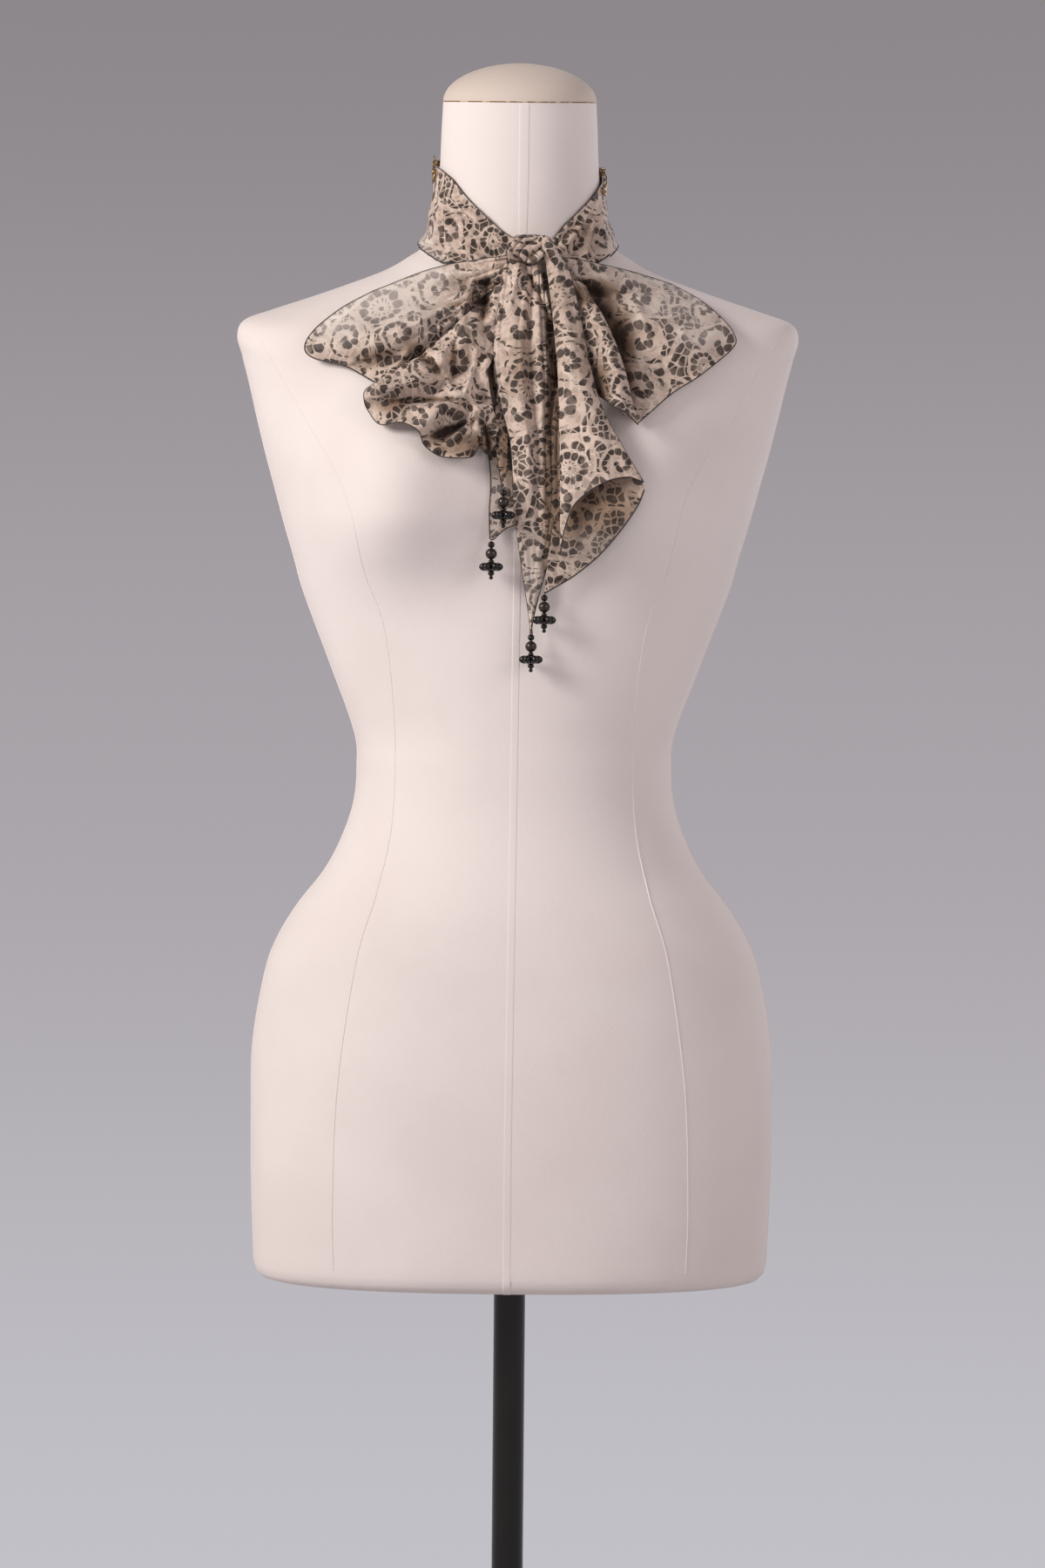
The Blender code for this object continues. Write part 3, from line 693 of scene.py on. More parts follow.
# Each motif draws chances from 0 to 1: it is a wheel up to the first of these, has small
# cells about it above the second, and has a disc up to the third
WHEELS = 0.38
SMALL_CELLS = 0.55
DISCS = 0.95


# %% Helpers of the print
def between(tree, value, low, high, soft):
    """1 where value lies from low to high, fading over soft."""
    rise = ramp(tree, value, low - soft, low + soft)
    fall = ramp(tree, value, high - soft, high + soft, 1.0, 0.0)
    return step(tree, "MULTIPLY", rise, fall)


def voronoi(tree, place, size, feature, randomness):
    """Flat Voronoi cells of a size in millimetres."""
    node = tree.nodes.new("ShaderNodeTexVoronoi")
    node.voronoi_dimensions = "2D"
    node.feature = feature
    set_values(node, {"Scale": 1.0 / size, "Randomness": randomness})
    tree.links.new(place, node.inputs["Vector"])
    return node


def scaled(tree, place, factor, shift=(0.0, 0.0, 0.0)):
    """Coordinates times a factor, then shifted."""
    node = tree.nodes.new("ShaderNodeVectorMath")
    node.operation = "MULTIPLY_ADD"
    node.inputs[1].default_value = factor
    node.inputs[2].default_value = shift
    tree.links.new(place, node.inputs[0])
    return node.outputs[0]


def choose(tree, factor, first, second):
    """First value where factor is 0, second where it is 1."""
    node = tree.nodes.new("ShaderNodeMix")
    tree.links.new(factor, node.inputs[0])
    tree.links.new(first, node.inputs[2])
    tree.links.new(second, node.inputs[3])
    return node.outputs[0]


def vector_step(tree, operation, first, second=None):
    """One Vector Math node on one or two outputs of other nodes."""
    node = tree.nodes.new("ShaderNodeVectorMath")
    node.operation = operation
    tree.links.new(first, node.inputs[0])
    if second is not None:
        tree.links.new(second, node.inputs[1])
    return node


HOLE_CORNER = 2.6


def hole(tree, across, along, wide, long):
    """Round-cornered hole: 1 inside its half sizes in millimetres, 0 outside."""
    parts = []
    for value, half in ((across, wide), (along, long)):
        share = step(tree, "ABSOLUTE", step(tree, "DIVIDE", value, half))
        parts.append(step(tree, "POWER", share, HOLE_CORNER))
    return ramp(tree, step(tree, "ADD", *parts), 0.75, 1.35, 1.0, 0.0)


# %% Print as a node group
def build_lace_print():
    """Lace print: a place on the flat cloth in metres, turned into ink and soft clouds."""
    tree = bpy.data.node_groups.new("lace_print", "ShaderNodeTree")
    tree.interface.new_socket("Place", in_out="INPUT", socket_type="NodeSocketVector")
    for name in ("Print", "Clouds"):
        tree.interface.new_socket(name, in_out="OUTPUT", socket_type="NodeSocketFloat")
    start = tree.nodes.new("NodeGroupInput")
    end = tree.nodes.new("NodeGroupOutput")

    # Millimetres, bent a little, as if drawn by hand
    grown = scaled(tree, start.outputs["Place"], (MM_IN_A_METRE, MM_IN_A_METRE, 0.0))
    wobble = tree.nodes.new("ShaderNodeTexNoise")
    set_values(wobble, {"Scale": WOBBLE_SCALE, "Detail": 1.5})
    tree.links.new(grown, wobble.inputs["Vector"])
    bent = vector_step(tree, "MULTIPLY_ADD", wobble.outputs["Color"])
    bent.inputs[1].default_value = (WOBBLE, WOBBLE, 0.0)
    tree.links.new(grown, bent.inputs[2])
    place = bent.outputs[0]

    # Centre, radius and angle of the nearest motif
    motif = voronoi(tree, place, MOTIF, "F1", MOTIF_FREE)
    border = voronoi(tree, place, MOTIF, "DISTANCE_TO_EDGE", MOTIF_FREE)
    away = step(tree, "MULTIPLY", border.outputs["Distance"], MOTIF)
    local = vector_step(tree, "SUBTRACT", place, motif.outputs["Position"]).outputs[0]
    split = tree.nodes.new("ShaderNodeSeparateXYZ")
    tree.links.new(local, split.inputs[0])
    length = vector_step(tree, "LENGTH", local)
    angle = step(tree, "ARCTAN2", split.outputs["Y"], split.outputs["X"])
    chance = tree.nodes.new("ShaderNodeSeparateColor")
    tree.links.new(motif.outputs["Color"], chance.inputs[0])
    size = ramp(tree, chance.outputs["Red"], 0.0, 1.0, 0.68, 1.12)
    radius = step(tree, "MULTIPLY", length.outputs["Value"], size)
    is_scroll = step(tree, "GREATER_THAN", chance.outputs["Green"], WHEELS)
    is_small = step(tree, "GREATER_THAN", chance.outputs["Blue"], SMALL_CELLS)
    has_disc = step(tree, "LESS_THAN", chance.outputs["Green"], DISCS)

    # Wheel: dot, spokes, ring of petals
    dot = ramp(tree, radius, 0.9, 1.5, 1.0, 0.0)
    spokes = step(tree, "SINE", step(tree, "MULTIPLY", angle, SPOKES))
    reach = between(tree, radius, SPOKES_FROM, SPOKES_TO, 0.3)
    ticks = step(tree, "MULTIPLY", ramp(tree, spokes, 0.35, 0.7), reach)
    sector = 2 * math.pi / PETALS
    petal = step(tree, "PINGPONG", step(tree, "DIVIDE", angle, sector), 0.5)
    beside = step(tree, "MULTIPLY", step(tree, "SUBTRACT", 0.5, petal), sector * PETAL_RING)
    ring = hole(tree, step(tree, "SUBTRACT", radius, PETAL_RING), beside, *PETAL_HALF)
    wheel = step(tree, "MAXIMUM", dot, step(tree, "MAXIMUM", ticks, ring))

    # Scroll: a tape that winds inwards, with cells beside it
    wound = step(tree, "DIVIDE", angle, 2 * math.pi)
    turns = step(tree, "SUBTRACT", step(tree, "DIVIDE", radius, PITCH), wound)
    coil = step(tree, "FRACT", turns)
    winding = step(tree, "ADD", step(tree, "FLOOR", turns), wound)
    grows = step(tree, "MULTIPLY", winding, step(tree, "ADD", winding, COIL_START))
    run = step(tree, "MULTIPLY", grows, math.pi * PITCH)
    beat = step(tree, "PINGPONG", step(tree, "DIVIDE", run, CELL_STEP), 0.5)
    along = step(tree, "MULTIPLY", step(tree, "SUBTRACT", 0.5, beat), CELL_STEP)
    across = step(tree, "MULTIPLY", step(tree, "SUBTRACT", coil, COIL_MIDDLE), PITCH)
    scroll = hole(tree, across, along, *CELL_HALF)

    # Net of cells between the motifs, with a plain tape along its middle
    nets = []
    for wide in (CELL_WIDE, CELL_SMALL):
        cells = voronoi(tree, place, wide, "DISTANCE_TO_EDGE", CELL_FREE)
        gap = step(tree, "MULTIPLY", cells.outputs["Distance"], wide)
        middle = voronoi(tree, place, wide, "F1", CELL_FREE)
        near = ramp(tree, middle.outputs["Distance"], 0.48, 0.64, 1.0, 0.0)
        nets.append(step(tree, "MULTIPLY", near, ramp(tree, gap, 0.2, 0.65)))
    net = choose(tree, is_small, *nets)
    tape = ramp(tree, away, TAPE_PLAIN, TAPE_FULL)
    rim = ramp(tree, radius, DISC - DISC_RIM, DISC - DISC_RIM + 0.4, 1.0, 0.0)
    rim = step(tree, "MULTIPLY", rim, has_disc)
    plain = step(tree, "SUBTRACT", 1.0, has_disc)
    beyond = step(tree, "MAXIMUM", ramp(tree, radius, DISC, DISC + 0.5), plain)
    inner = step(tree, "MULTIPLY", choose(tree, is_scroll, wheel, scroll), rim)
    outer = step(tree, "MULTIPLY", net, beyond)
    ink = step(tree, "MULTIPLY", step(tree, "MAXIMUM", inner, outer), tape)

    # Uneven ink
    clouds = noise_value(tree, place, WOBBLE_SCALE, 3.0)
    fine = noise_value(tree, place, 0.8, 2.5)
    worn = ramp(tree, fine, 0.25, 0.45, 0.7, 1.0)
    tone = tree.nodes.new("ShaderNodeSeparateColor")
    speck = voronoi(tree, place, CELL_STEP, "F1", 0.8)
    tree.links.new(speck.outputs["Color"], tone.inputs[0])
    uneven = ramp(tree, tone.outputs["Red"], 0.0, 0.7, 0.8, 1.0)
    ink = step(tree, "MULTIPLY", ink, step(tree, "MULTIPLY", worn, uneven), clamp=True)
    tree.links.new(ink, end.inputs["Print"])
    tree.links.new(clouds, end.inputs["Clouds"])
    return tree


lace_print = build_lace_print()

# %% [markdown]
# ## Finish of the cloth
# Two point attributes steer the cloth. "sheer" is 1 where a single layer lies over the
# form: there the print turns grey and the cloth lets light through. The second value is 1
# inside folds and on the back of the cloth. It is painted shade in the folds and hollows,
# and also the yellowish colour of light that has passed through more than one layer.
# Both are painted by formula on each sheet.

# %% Chiffon
# Colours of the cloth from a dark cloud to a light one, inside a fold (layered cloth with
# painted shade), deep inside it (painted shade, nearly black), as a single layer over the
# form, and where the print of the layer behind shows through
CLOTH_DARK = (0.54, 0.41, 0.335)
CLOTH_LIGHT = (0.69, 0.55, 0.455)
CLOTH_FOLD_LAYERS_AND_SHADE = (0.27, 0.175, 0.115)
CLOTH_DEEP_SHADE = (0.045, 0.022, 0.012)
CLOTH_SHEER = (0.90, 0.80, 0.715)
CLOTH_GHOST = (0.12, 0.082, 0.060)
GHOST_SHARE = 0.34
UNDER_SHIFT = (0.313, 0.077, 0.0)
INK_DARK = (0.014, 0.008, 0.005)
INK_LIGHT = (0.034, 0.019, 0.013)
INK_SHEER = (0.22, 0.18, 0.17)
SHEER_CLEAR = 0.45


def attribute(tree, name):
    """Value that a sheet carries at each of its points."""
    node = tree.nodes.new("ShaderNodeAttribute")
    node.attribute_name = name
    return node.outputs["Fac"]


def printed(tree, place):
    """Print and clouds of the lace at a place on the flat cloth."""
    group = tree.nodes.new("ShaderNodeGroup")
    group.node_tree = lace_print
    tree.links.new(place, group.inputs["Place"])
    return group.outputs["Print"], group.outputs["Clouds"]


def chiffon_finish():
    """Printed chiffon, steered by the sheet's sheer value and by its painted shade and layered
    colour.
    """
    finish, tree, shader = new_finish("printed_chiffon", 0.72)
    uv = tree.nodes.new("ShaderNodeUVMap")
    uv.uv_map = "flat"
    sheer = attribute(tree, "sheer")
    layers_and_shade = attribute(tree, "layers_and_shade")
    front, clouds = printed(tree, uv.outputs["UV"])
    under = scaled(tree, uv.outputs["UV"], (-1.0, 1.0, 0.0), UNDER_SHIFT)
    behind = printed(tree, under)[0]
    clouds = ramp(tree, clouds, 0.3, 0.7)
    ground = blend_colours(tree, clouds, CLOTH_DARK, CLOTH_LIGHT)
    # Painted shade: the cloth is painted darker brown inside folds, then nearly black in the
    # deepest hollows; the first step is also the warmer colour of layered cloth
    ground = blend_colours(tree, ramp(tree, layers_and_shade, 0.0, 0.55), ground, CLOTH_FOLD_LAYERS_AND_SHADE)
    ground = blend_colours(tree, ramp(tree, layers_and_shade, 0.45, 1.0), ground, CLOTH_DEEP_SHADE)
    ground = blend_colours(tree, sheer, ground, CLOTH_SHEER)
    layers = step(tree, "SUBTRACT", 1.0, sheer)
    shadow = step(tree, "MULTIPLY", behind, step(tree, "MULTIPLY", layers, GHOST_SHARE))
    ground = blend_colours(tree, shadow, ground, CLOTH_GHOST)
    ink = blend_colours(tree, clouds, INK_DARK, INK_LIGHT)
    ink = blend_colours(tree, sheer, ink, INK_SHEER)
    strength = step(tree, "MULTIPLY", front, ramp(tree, sheer, 0.0, 1.0, 0.95, 0.72))
    paint(tree, shader, strength, ground, ink)
    covered = step(tree, "SUBTRACT", SHEER_CLEAR, step(tree, "MULTIPLY", front, 0.2))
    alpha = step(tree, "SUBTRACT", 1.0, step(tree, "MULTIPLY", sheer, covered), clamp=True)
    tree.links.new(alpha, shader.inputs["Alpha"])
    grown = scaled(tree, uv.outputs["UV"], (MM_IN_A_METRE, MM_IN_A_METRE, 0.0))
    crepe = noise_value(tree, grown, 1.6, 3.0, 0.6)
    bump(tree, shader, crepe, 0.0004, 0.5)
    sheen = {"Sheen Weight": 0.15, "Sheen Roughness": 0.4, "Specular IOR Level": 0.3}
    set_values(shader, sheen)
    return finish


chiffon = chiffon_finish()

rolled_thread, tree, shader = new_finish("rolled_hem", 0.6)
twist = noise_value(tree, object_place(tree), 900.0, 2.0)
strands = ramp(tree, twist, 0.35, 0.65)
paint(tree, shader, strands, (0.016, 0.012, 0.011), (0.06, 0.046, 0.04))
bump(tree, shader, twist, 0.0003, 0.5)

# %% [markdown]
# ## Sheets of cloth
# Every stretch of the scarf is a sheet that hangs in fold lines. A table has a row for
# each fold line, from the knot outwards, and each point says how far it lies across, how
# high, and how far it stands in front of the form. Curves through the rows give the big
# folds. Creases are then listed one by one: a start, an end, how far the cloth rises or
# sinks, and how quickly it does so on each side. Small gathers fan out from the knot.
# The print needs the cloth's flat shape. It starts as the front view of the sheet, and
# then every thread is pulled to the length it has on the folded cloth, over and over,
# until the flat sheet is as big as the folded one.

# %% Creases and gathers
PIXEL = 0.61
PHOTO_MIDDLE = 600
PHOTO_EYE = 900
PHOTO_SHIFT = 8.5
EYE_HEIGHT = 346.0
CLOTH_FORWARD = 0.11
CLOTH_NEARER = (CAMERA_DISTANCE - CLOTH_FORWARD) / CAMERA_DISTANCE


def seen(x, y):
    """Place across and height, in millimetres, of the cloth that the photo shows at a pixel."""
    right = x - PHOTO_MIDDLE
    up = PHOTO_EYE - y
    turned_right = right * math.cos(CAMERA_ROLL) - up * math.sin(CAMERA_ROLL)
    turned_up = right * math.sin(CAMERA_ROLL) + up * math.cos(CAMERA_ROLL)
    size = PIXEL * CLOTH_NEARER
    return (turned_right + PHOTO_SHIFT) * size, EYE_HEIGHT + turned_up * size


CREASE_SHARP = 1.6
CREASE_END = 1.3


def crease_rise(across, height, creases):
    """Rise of the cloth in millimetres from every crease near each point."""
    total = np.zeros_like(across)
    for x_start, y_start, x_end, y_end, rise, left, right in creases:
        x0, z0 = seen(x_start, y_start)
        x1, z1 = seen(x_end, y_end)
        run = np.array([x1 - x0, z1 - z0], dtype=float)
        long = float(np.hypot(*run))
        run /= long
        along = (across - x0) * run[0] + (height - z0) * run[1]
        beside = (across - x0) * run[1] - (height - z0) * run[0]
        past = np.maximum(0, np.maximum(-along, along - long))
        width = np.where(beside < 0, left, right)
        bend = np.exp(-np.abs(beside / width) ** CREASE_SHARP)
        total += rise * bend * np.exp(-(past / (CREASE_END * max(left, right))) ** 2)
    return total


# How often every thread is pulled towards its length, and how far each time
FLAT_STEPS = 220
FLAT_PULL = 0.2


def flattened(points):
    """Flat coordinates in metres that give every thread its length on the folded cloth."""
    flat = points[..., (0, 2)].copy()
    every, later, earlier = slice(None), slice(1, None), slice(None, -1)
    pairs = [
        ((later, every), (earlier, every)), ((every, later), (every, earlier)),
        ((later, later), (earlier, earlier)), ((later, earlier), (earlier, later)),
    ]
    lengths = [np.linalg.norm(points[a] - points[b], axis=-1) for a, b in pairs]
    for _ in range(FLAT_STEPS):
        move = np.zeros_like(flat)
        for (a, b), length in zip(pairs, lengths):
            span = flat[a] - flat[b]
            now = np.maximum(np.linalg.norm(span, axis=-1), 0.0001)
            shift = span * (0.5 * (length / now - 1))[..., None]
            move[a] += shift
            move[b] -= shift
        flat += FLAT_PULL * move
    return flat * MM


SPOT_FADE = 0.6
SPOT_EDGE = 1.3


def spots(across, height, table):
    """Soft patches: place across, height, half width, half height, amount."""
    total = np.zeros_like(across)
    for x, z, wide, tall, amount in table:
        away = ((across - x) / wide) ** 2 + ((height - z) / tall) ** 2
        total = np.maximum(total, amount * np.exp(-SPOT_FADE * away ** SPOT_EDGE))
    return total


THREAD = 0.35


def cloth_grid(across, down):
    """Grid for cloth, with its layers for the flat shape, sheer, and layered colour with
    painted shade.
    """
    mesh = bmesh.new()
    bmesh.ops.create_grid(
        mesh, x_segments=across, y_segments=down, size=0.5, calc_uvs=True,
    )
    mesh.loops.layers.uv.verify()
    layers = [mesh.verts.layers.float.new(name) for name in ("sheer", "layers_and_shade")]
    return mesh, *layers


def write_flat(mesh, places):
    """Writes the flat place of each point of the cloth into the mesh's UV map."""
    flat = mesh.loops.layers.uv.verify()
    for face in mesh.faces:
        for loop in face.loops:
            loop[flat].uv = places[loop.vert]


def add_cloth(name, mesh, thread=THREAD):
    """Turns a cloth mesh into a piece of chiffon as thick as its thread."""
    piece = add_piece(name, mesh, [chiffon])
    piece.data.uv_layers[0].name = "flat"
    if thread:
        add_wall(piece, "Thread", thread, 0.0)
    return piece


def cloth_sheet(name, points, place_print, sheer, layers_and_shade):
    """Thin shell through a grid of points, with flat coordinates and attributes."""
    rows, columns = points.shape[:2]
    cut = flattened(points) + np.array(place_print)
    mesh, sheer_layer, layers_and_shade_layer = cloth_grid(rows - 1, columns - 1)
    places = {}
    for point in mesh.verts:
        row = round((point.co.x + 0.5) * (rows - 1))
        column = round((point.co.y + 0.5) * (columns - 1))
        places[point] = cut[row, column]
        point[sheer_layer] = sheer[row, column]
        point[layers_and_shade_layer] = layers_and_shade[row, column]
        point.co = points[row, column]
    write_flat(mesh, places)
    return add_cloth(name, mesh)


# %% A sheet laid in front of the form
LEAST_STAND = 1.2
# Painted shade in hollows: how deep a crease sinks before it starts, how fast it grows, and how
# patchy it is
HOLLOW_SHADE_FROM = 0.2
HOLLOW_SHADE_GAIN = 0.17
HOLLOW_SHADE_PATCHY = 0.6
PATCH_SCALE = 0.11
# Height and scale of the soft waves that keep a sheet from looking ruled
SOFT_WAVES = ((1.1, 0.07), (0.35, 0.2))
# How far the gathers wander sideways, and how often across and along the sheet
GATHER_WANDER = ((0.22, 7, 2), (0.13, 17, -3))
GATHER_PEAK = 1.6


def patch_noise(x, z, scale, seed):
    """Smooth random value from -1 to 1 on the front view of the cloth."""
    return noise.noise(Vector((x * scale, z * scale, seed)))


def folded_sheet(name, table, rows, columns, creases=(), gathers=(0, 0, 0), sheer=(),
                 layers_and_shade=(), place_print=(0.0, 0.0)):
    """Sheet through the fold lines of a table, with creases and gathers added."""
    grid = resample(np.array(table, dtype=float), rows)
    grid = resample(grid.transpose(1, 0, 2), columns).transpose(1, 0, 2)
    across, height, lift = grid[..., 0], grid[..., 1], grid[..., 2].copy()
    rise = crease_rise(across, height, creases)
    count, depth, fade = gathers
    u = np.linspace(0, 1, rows)[:, None]
    v = np.linspace(0, 1, columns)[None, :]
    if count:
        sway = sum(far * np.sin(a * u + b * v) for far, a, b in GATHER_WANDER)
        wave = GATHER_PEAK * np.abs(np.sin(math.pi * (count * u + sway))) - 1.0
        rise += depth * wave * (1 - v) ** fade
    lift += rise
    # Painted shade where the creases sink the cloth in, made uneven in patches
    patchy = np.array([
        [patch_noise(x, z, PATCH_SCALE, 3.0) for x, z in zip(xs, zs)]
        for xs, zs in zip(across, height)
    ])
    hollow_shade = (-HOLLOW_SHADE_GAIN * rise - HOLLOW_SHADE_FROM) * (1 + HOLLOW_SHADE_PATCHY * patchy)
    hollow_shade = np.clip(hollow_shade, 0, 1)
    points = np.zeros(across.shape + (3,))
    for row in range(rows):
        for column in range(columns):
            x, z = across[row, column], height[row, column]
            soft = sum(
                amount * patch_noise(x, z, scale, len(name)) for amount, scale in SOFT_WAVES
            )
            stand = max(LEAST_STAND, lift[row, column] + soft)
            points[row, column] = (x, -front_of_form(x, z) - stand, z)
    # The sheet carries its spots of painted shade and layered colour, and the painted shade of
    # its hollows
    piece = cloth_sheet(
        name, points, place_print,
        spots(across, height, sheer), np.maximum(spots(across, height, layers_and_shade), hollow_shade),
    )
    return piece, points


def hem(name, edge, radius=0.55, closed=False):
    """Rolled hem along the edge of a sheet."""
    piece = tube_along(name, edge, radius, rolled_thread, closed, sides=2)
    return piece


def declare(piece, points, area):
    """Prints the cut of a sheet and what the mesh measures."""
    first = points[1:, :-1] - points[:-1, :-1]
    second = points[:-1, 1:] - points[:-1, :-1]
    size = np.linalg.norm(np.cross(first, second), axis=2).sum() * MM ** 2
    print(piece.name, "area", round(size, 5), "cut", area)


# %% [markdown]
# ## Left side of the bow
# The left wing is the end of the scarf that was pulled out flat over the shoulder. Its
# upper part is one sheer layer with a dark rolled hem, and its lower edge rolls over. The
# ruffle below it is the same cloth pushed together, so it bulges in three soft lobes.

# %% Left wing
# Each row is a fold line from the knot outwards. Each point gives the distance across,
# the height and the distance in front of the form, in millimetres
LEFT_WING = [
    [(-6.3, 706.5, 17), (-58, 700, 12), (-99, 685, 7)],
    [(-6.0, 703.5, 17), (-64, 691, 13), (-120, 672, 9)],
    [(-6.5, 700, 15), (-70, 679, 9), (-138, 656, 9)],
    [(-9.0, 696, 13), (-75, 665, 13), (-145, 643, 12)],
    [(-8.0, 692, 10), (-78, 653, 20), (-139, 635, 9)],
    [(-8.0, 688, 7), (-75, 644, 12), (-117, 629, 5)],
    [(-9.0, 682, 5), (-62, 639, 4), (-96, 617, 4)],
]
# Start and end of a crease, in pixels of the photograph, its rise in millimetres, and its
# width on the left and on the right of the way from its start to its end
LEFT_CREASES = [
    (573, 307, 515, 303, 2.2, 3.0, 4.0),
    (572, 316, 508, 316, -4.0, 2.5, 3.5),
    (560, 328, 512, 329, 2.8, 2.5, 2.5),
    (554, 338, 496, 347, -5.5, 3.5, 4.0),
    (506, 350, 470, 376, 2.2, 4.0, 6.0),
    (522, 364, 484, 382, 2.4, 4.0, 4.0),
    (450, 397, 406, 411, 3.4, 1.5, 7.0),
    (446, 408, 412, 424, -1.6, 4.0, 2.0),
    (470, 345, 385, 384, 1.0, 7.0, 7.0),
    (545, 316, 536, 345, 4.5, 2.5, 2.5),
    (536, 345, 531, 374, 4.5, 2.5, 2.5),
    (559, 318, 556, 366, -7.0, 4.0, 3.5),
    (532, 374, 560, 366, 3.5, 2.5, 2.5),
    (531, 376, 549, 402, 4.5, 2.5, 3.0),
    (549, 402, 537, 450, 6.0, 3.0, 2.5),
    (537, 450, 562, 488, 5.0, 3.0, 3.0),
    (527, 380, 508, 406, 3.5, 2.0, 2.0),
    (508, 406, 516, 437, 3.5, 2.0, 2.0),
    (522, 394, 521, 432, -5.0, 3.0, 3.0),
    (482, 402, 503, 424, -6.0, 4.0, 4.0),
    (470, 399, 440, 438, 4.0, 3.0, 3.0),
    (440, 444, 520, 433, 3.0, 4.0, 4.0),
    (452, 460, 520, 459, -5.0, 3.0, 2.5),
    (444, 474, 516, 470, 2.6, 5.0, 3.0),
    (508, 497, 548, 482, -7.5, 2.5, 5.0),
    (490, 503, 520, 492, -3.0, 3.0, 3.0),
    (547, 476, 528, 502, 6.0, 2.0, 2.0),
    (528, 502, 503, 519, 4.0, 3.0, 3.0),
    (547, 476, 556, 512, 5.0, 2.0, 2.0),
    (559, 488, 562, 514, -7.0, 3.0, 3.0),
    (575, 398, 573, 484, -4.5, 4.0, 3.0),
    (561, 412, 566, 470, 3.0, 3.5, 3.5),
]
wing, points = folded_sheet(
    "left_wing_cloth", LEFT_WING, 120, 140, LEFT_CREASES, (6, 1.6, 1.5),
    sheer=[(-96, 680, 34, 20, 1.0), (-122, 664, 18, 15, 1.0), (-64, 692, 18, 8, 0.8)],
    # Spots of painted shade in folds and hollows, with the warmer colour of layered cloth
    layers_and_shade=[
        (-94, 634, 20, 7, 0.4), (-70, 640, 12, 5, 0.4), (-36, 685, 20, 8, 0.3),
        (-28, 672, 9, 12, 0.45),
    ],
    place_print=(0.03, 0.01),
)
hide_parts("left_wing")
hems = [
    hem("left_wing_hem_top", points[0]),
    hem("left_wing_hem_end", points[:, -1]),
]
declare(wing, points, 0.0095)

# %% Left ruffle
LEFT_RUFFLE = [
    [(-8.5, 692, 10.8), (-57, 643, 12), (-94, 617, 11)],
    [(-8.5, 681, 11), (-59, 632, 18), (-102, 611, 15)],
    [(-10, 668, 10), (-60, 623, 23), (-103, 605, 18)],
    [(-14, 656, 9), (-62, 615, 16), (-101, 598, 9)],
    [(-15, 646, 8), (-62, 608, 8), (-92, 587, 8)],
    [(-16, 636, 9), (-58, 602, 16), (-78, 588, 14)],
    [(-19.5, 626, 13), (-53, 595, 22), (-66, 582, 18)],
    [(-19, 617, 11), (-49, 589, 12), (-62, 573, 8)],
    [(-18, 609, 10), (-44, 584, 8), (-53, 566, 8)],
    [(-17, 603, 11), (-37, 582, 16), (-42, 564, 15)],
    [(-16, 598, 11), (-31, 581, 18), (-30, 565, 17)],
    [(-14.5, 594, 10.5), (-26, 580, 10), (-25, 573, 9)],
    [(-13, 590, 10.5), (-20, 580, 9.5), (-19.5, 568, 9)],
    [(-11.5, 586, 11), (-14, 580, 11), (-13.5, 575, 11.5)],
]
ruffle, points = folded_sheet(
    "left_ruffle_cloth", LEFT_RUFFLE, 190, 130, LEFT_CREASES, (9, 1.0, 1.6),
    # Spots of painted shade in folds and hollows, with the warmer colour of layered cloth
    layers_and_shade=[(-84, 600, 12, 5, 0.5), (-30, 572, 26, 8, 0.5)],
    place_print=(0.11, 0.07),
)
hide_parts("left_ruffle")
hems = [hem("left_ruffle_hem", points[:, -1], 0.4)]
declare(ruffle, points, 0.0092)

# %% [markdown]
# ## Right side of the bow
# The right wing is flatter, with one deep dark fold beside the tail. A loop of the same
# cloth stands in front of that fold as a round roll, open at its lower end.

# %% Right wing
RIGHT_WING = [
    [(25.9, 707, 16), (58, 704, 12), (85, 700, 8), (107, 694, 7)],
    [(27, 703.5, 17), (58, 697, 18), (91, 691, 13), (125, 682, 9)],
    [(29, 699.5, 11), (59, 685, 12), (94, 678, 10), (140, 667, 9)],
    [(32, 696, 6), (60, 672, 5), (98, 664, 14), (148, 655, 10)],
    [(33, 693, 4.5), (64, 656, 4), (101, 650, 16), (147, 645, 8)],
    [(34, 690, 4), (69, 640, 4), (97, 635, 9), (125, 625, 10)],
    [(34.5, 687, 4), (71, 625, 5), (90, 619, 6), (106, 612, 6)],
    [(35, 684, 4), (70, 612, 6), (82, 606, 9), (92, 599, 9)],
    [(35.5, 681, 4), (67, 603, 5), (75, 596, 5), (81, 589, 6)],
]
RIGHT_WING_CREASES = [
    (652, 303, 742, 331, 3.2, 3.0, 3.5),
    (655, 316, 702, 334, -4.5, 2.5, 4.0),
    (714, 327, 757, 323, -2.2, 2.0, 3.0),
    (700, 343, 736, 345, 2.6, 4.0, 2.5),
    (736, 345, 744, 366, 2.6, 2.5, 5.0),
    (712, 358, 728, 368, 3.0, 8.0, 8.0),
    (733, 381, 778, 377, -2.0, 3.0, 3.0),
    (742, 402, 802, 408, 1.8, 6.0, 5.0),
    (738, 427, 792, 426, -2.2, 4.0, 4.0),
    (726, 452, 745, 466, 2.4, 3.0, 3.0),
    (690, 345, 723, 442, -3.0, 4.0, 5.0),
    (828, 372, 800, 396, 1.2, 5.0, 5.0),
    (760, 335, 800, 360, 1.0, 5.0, 5.0),
]
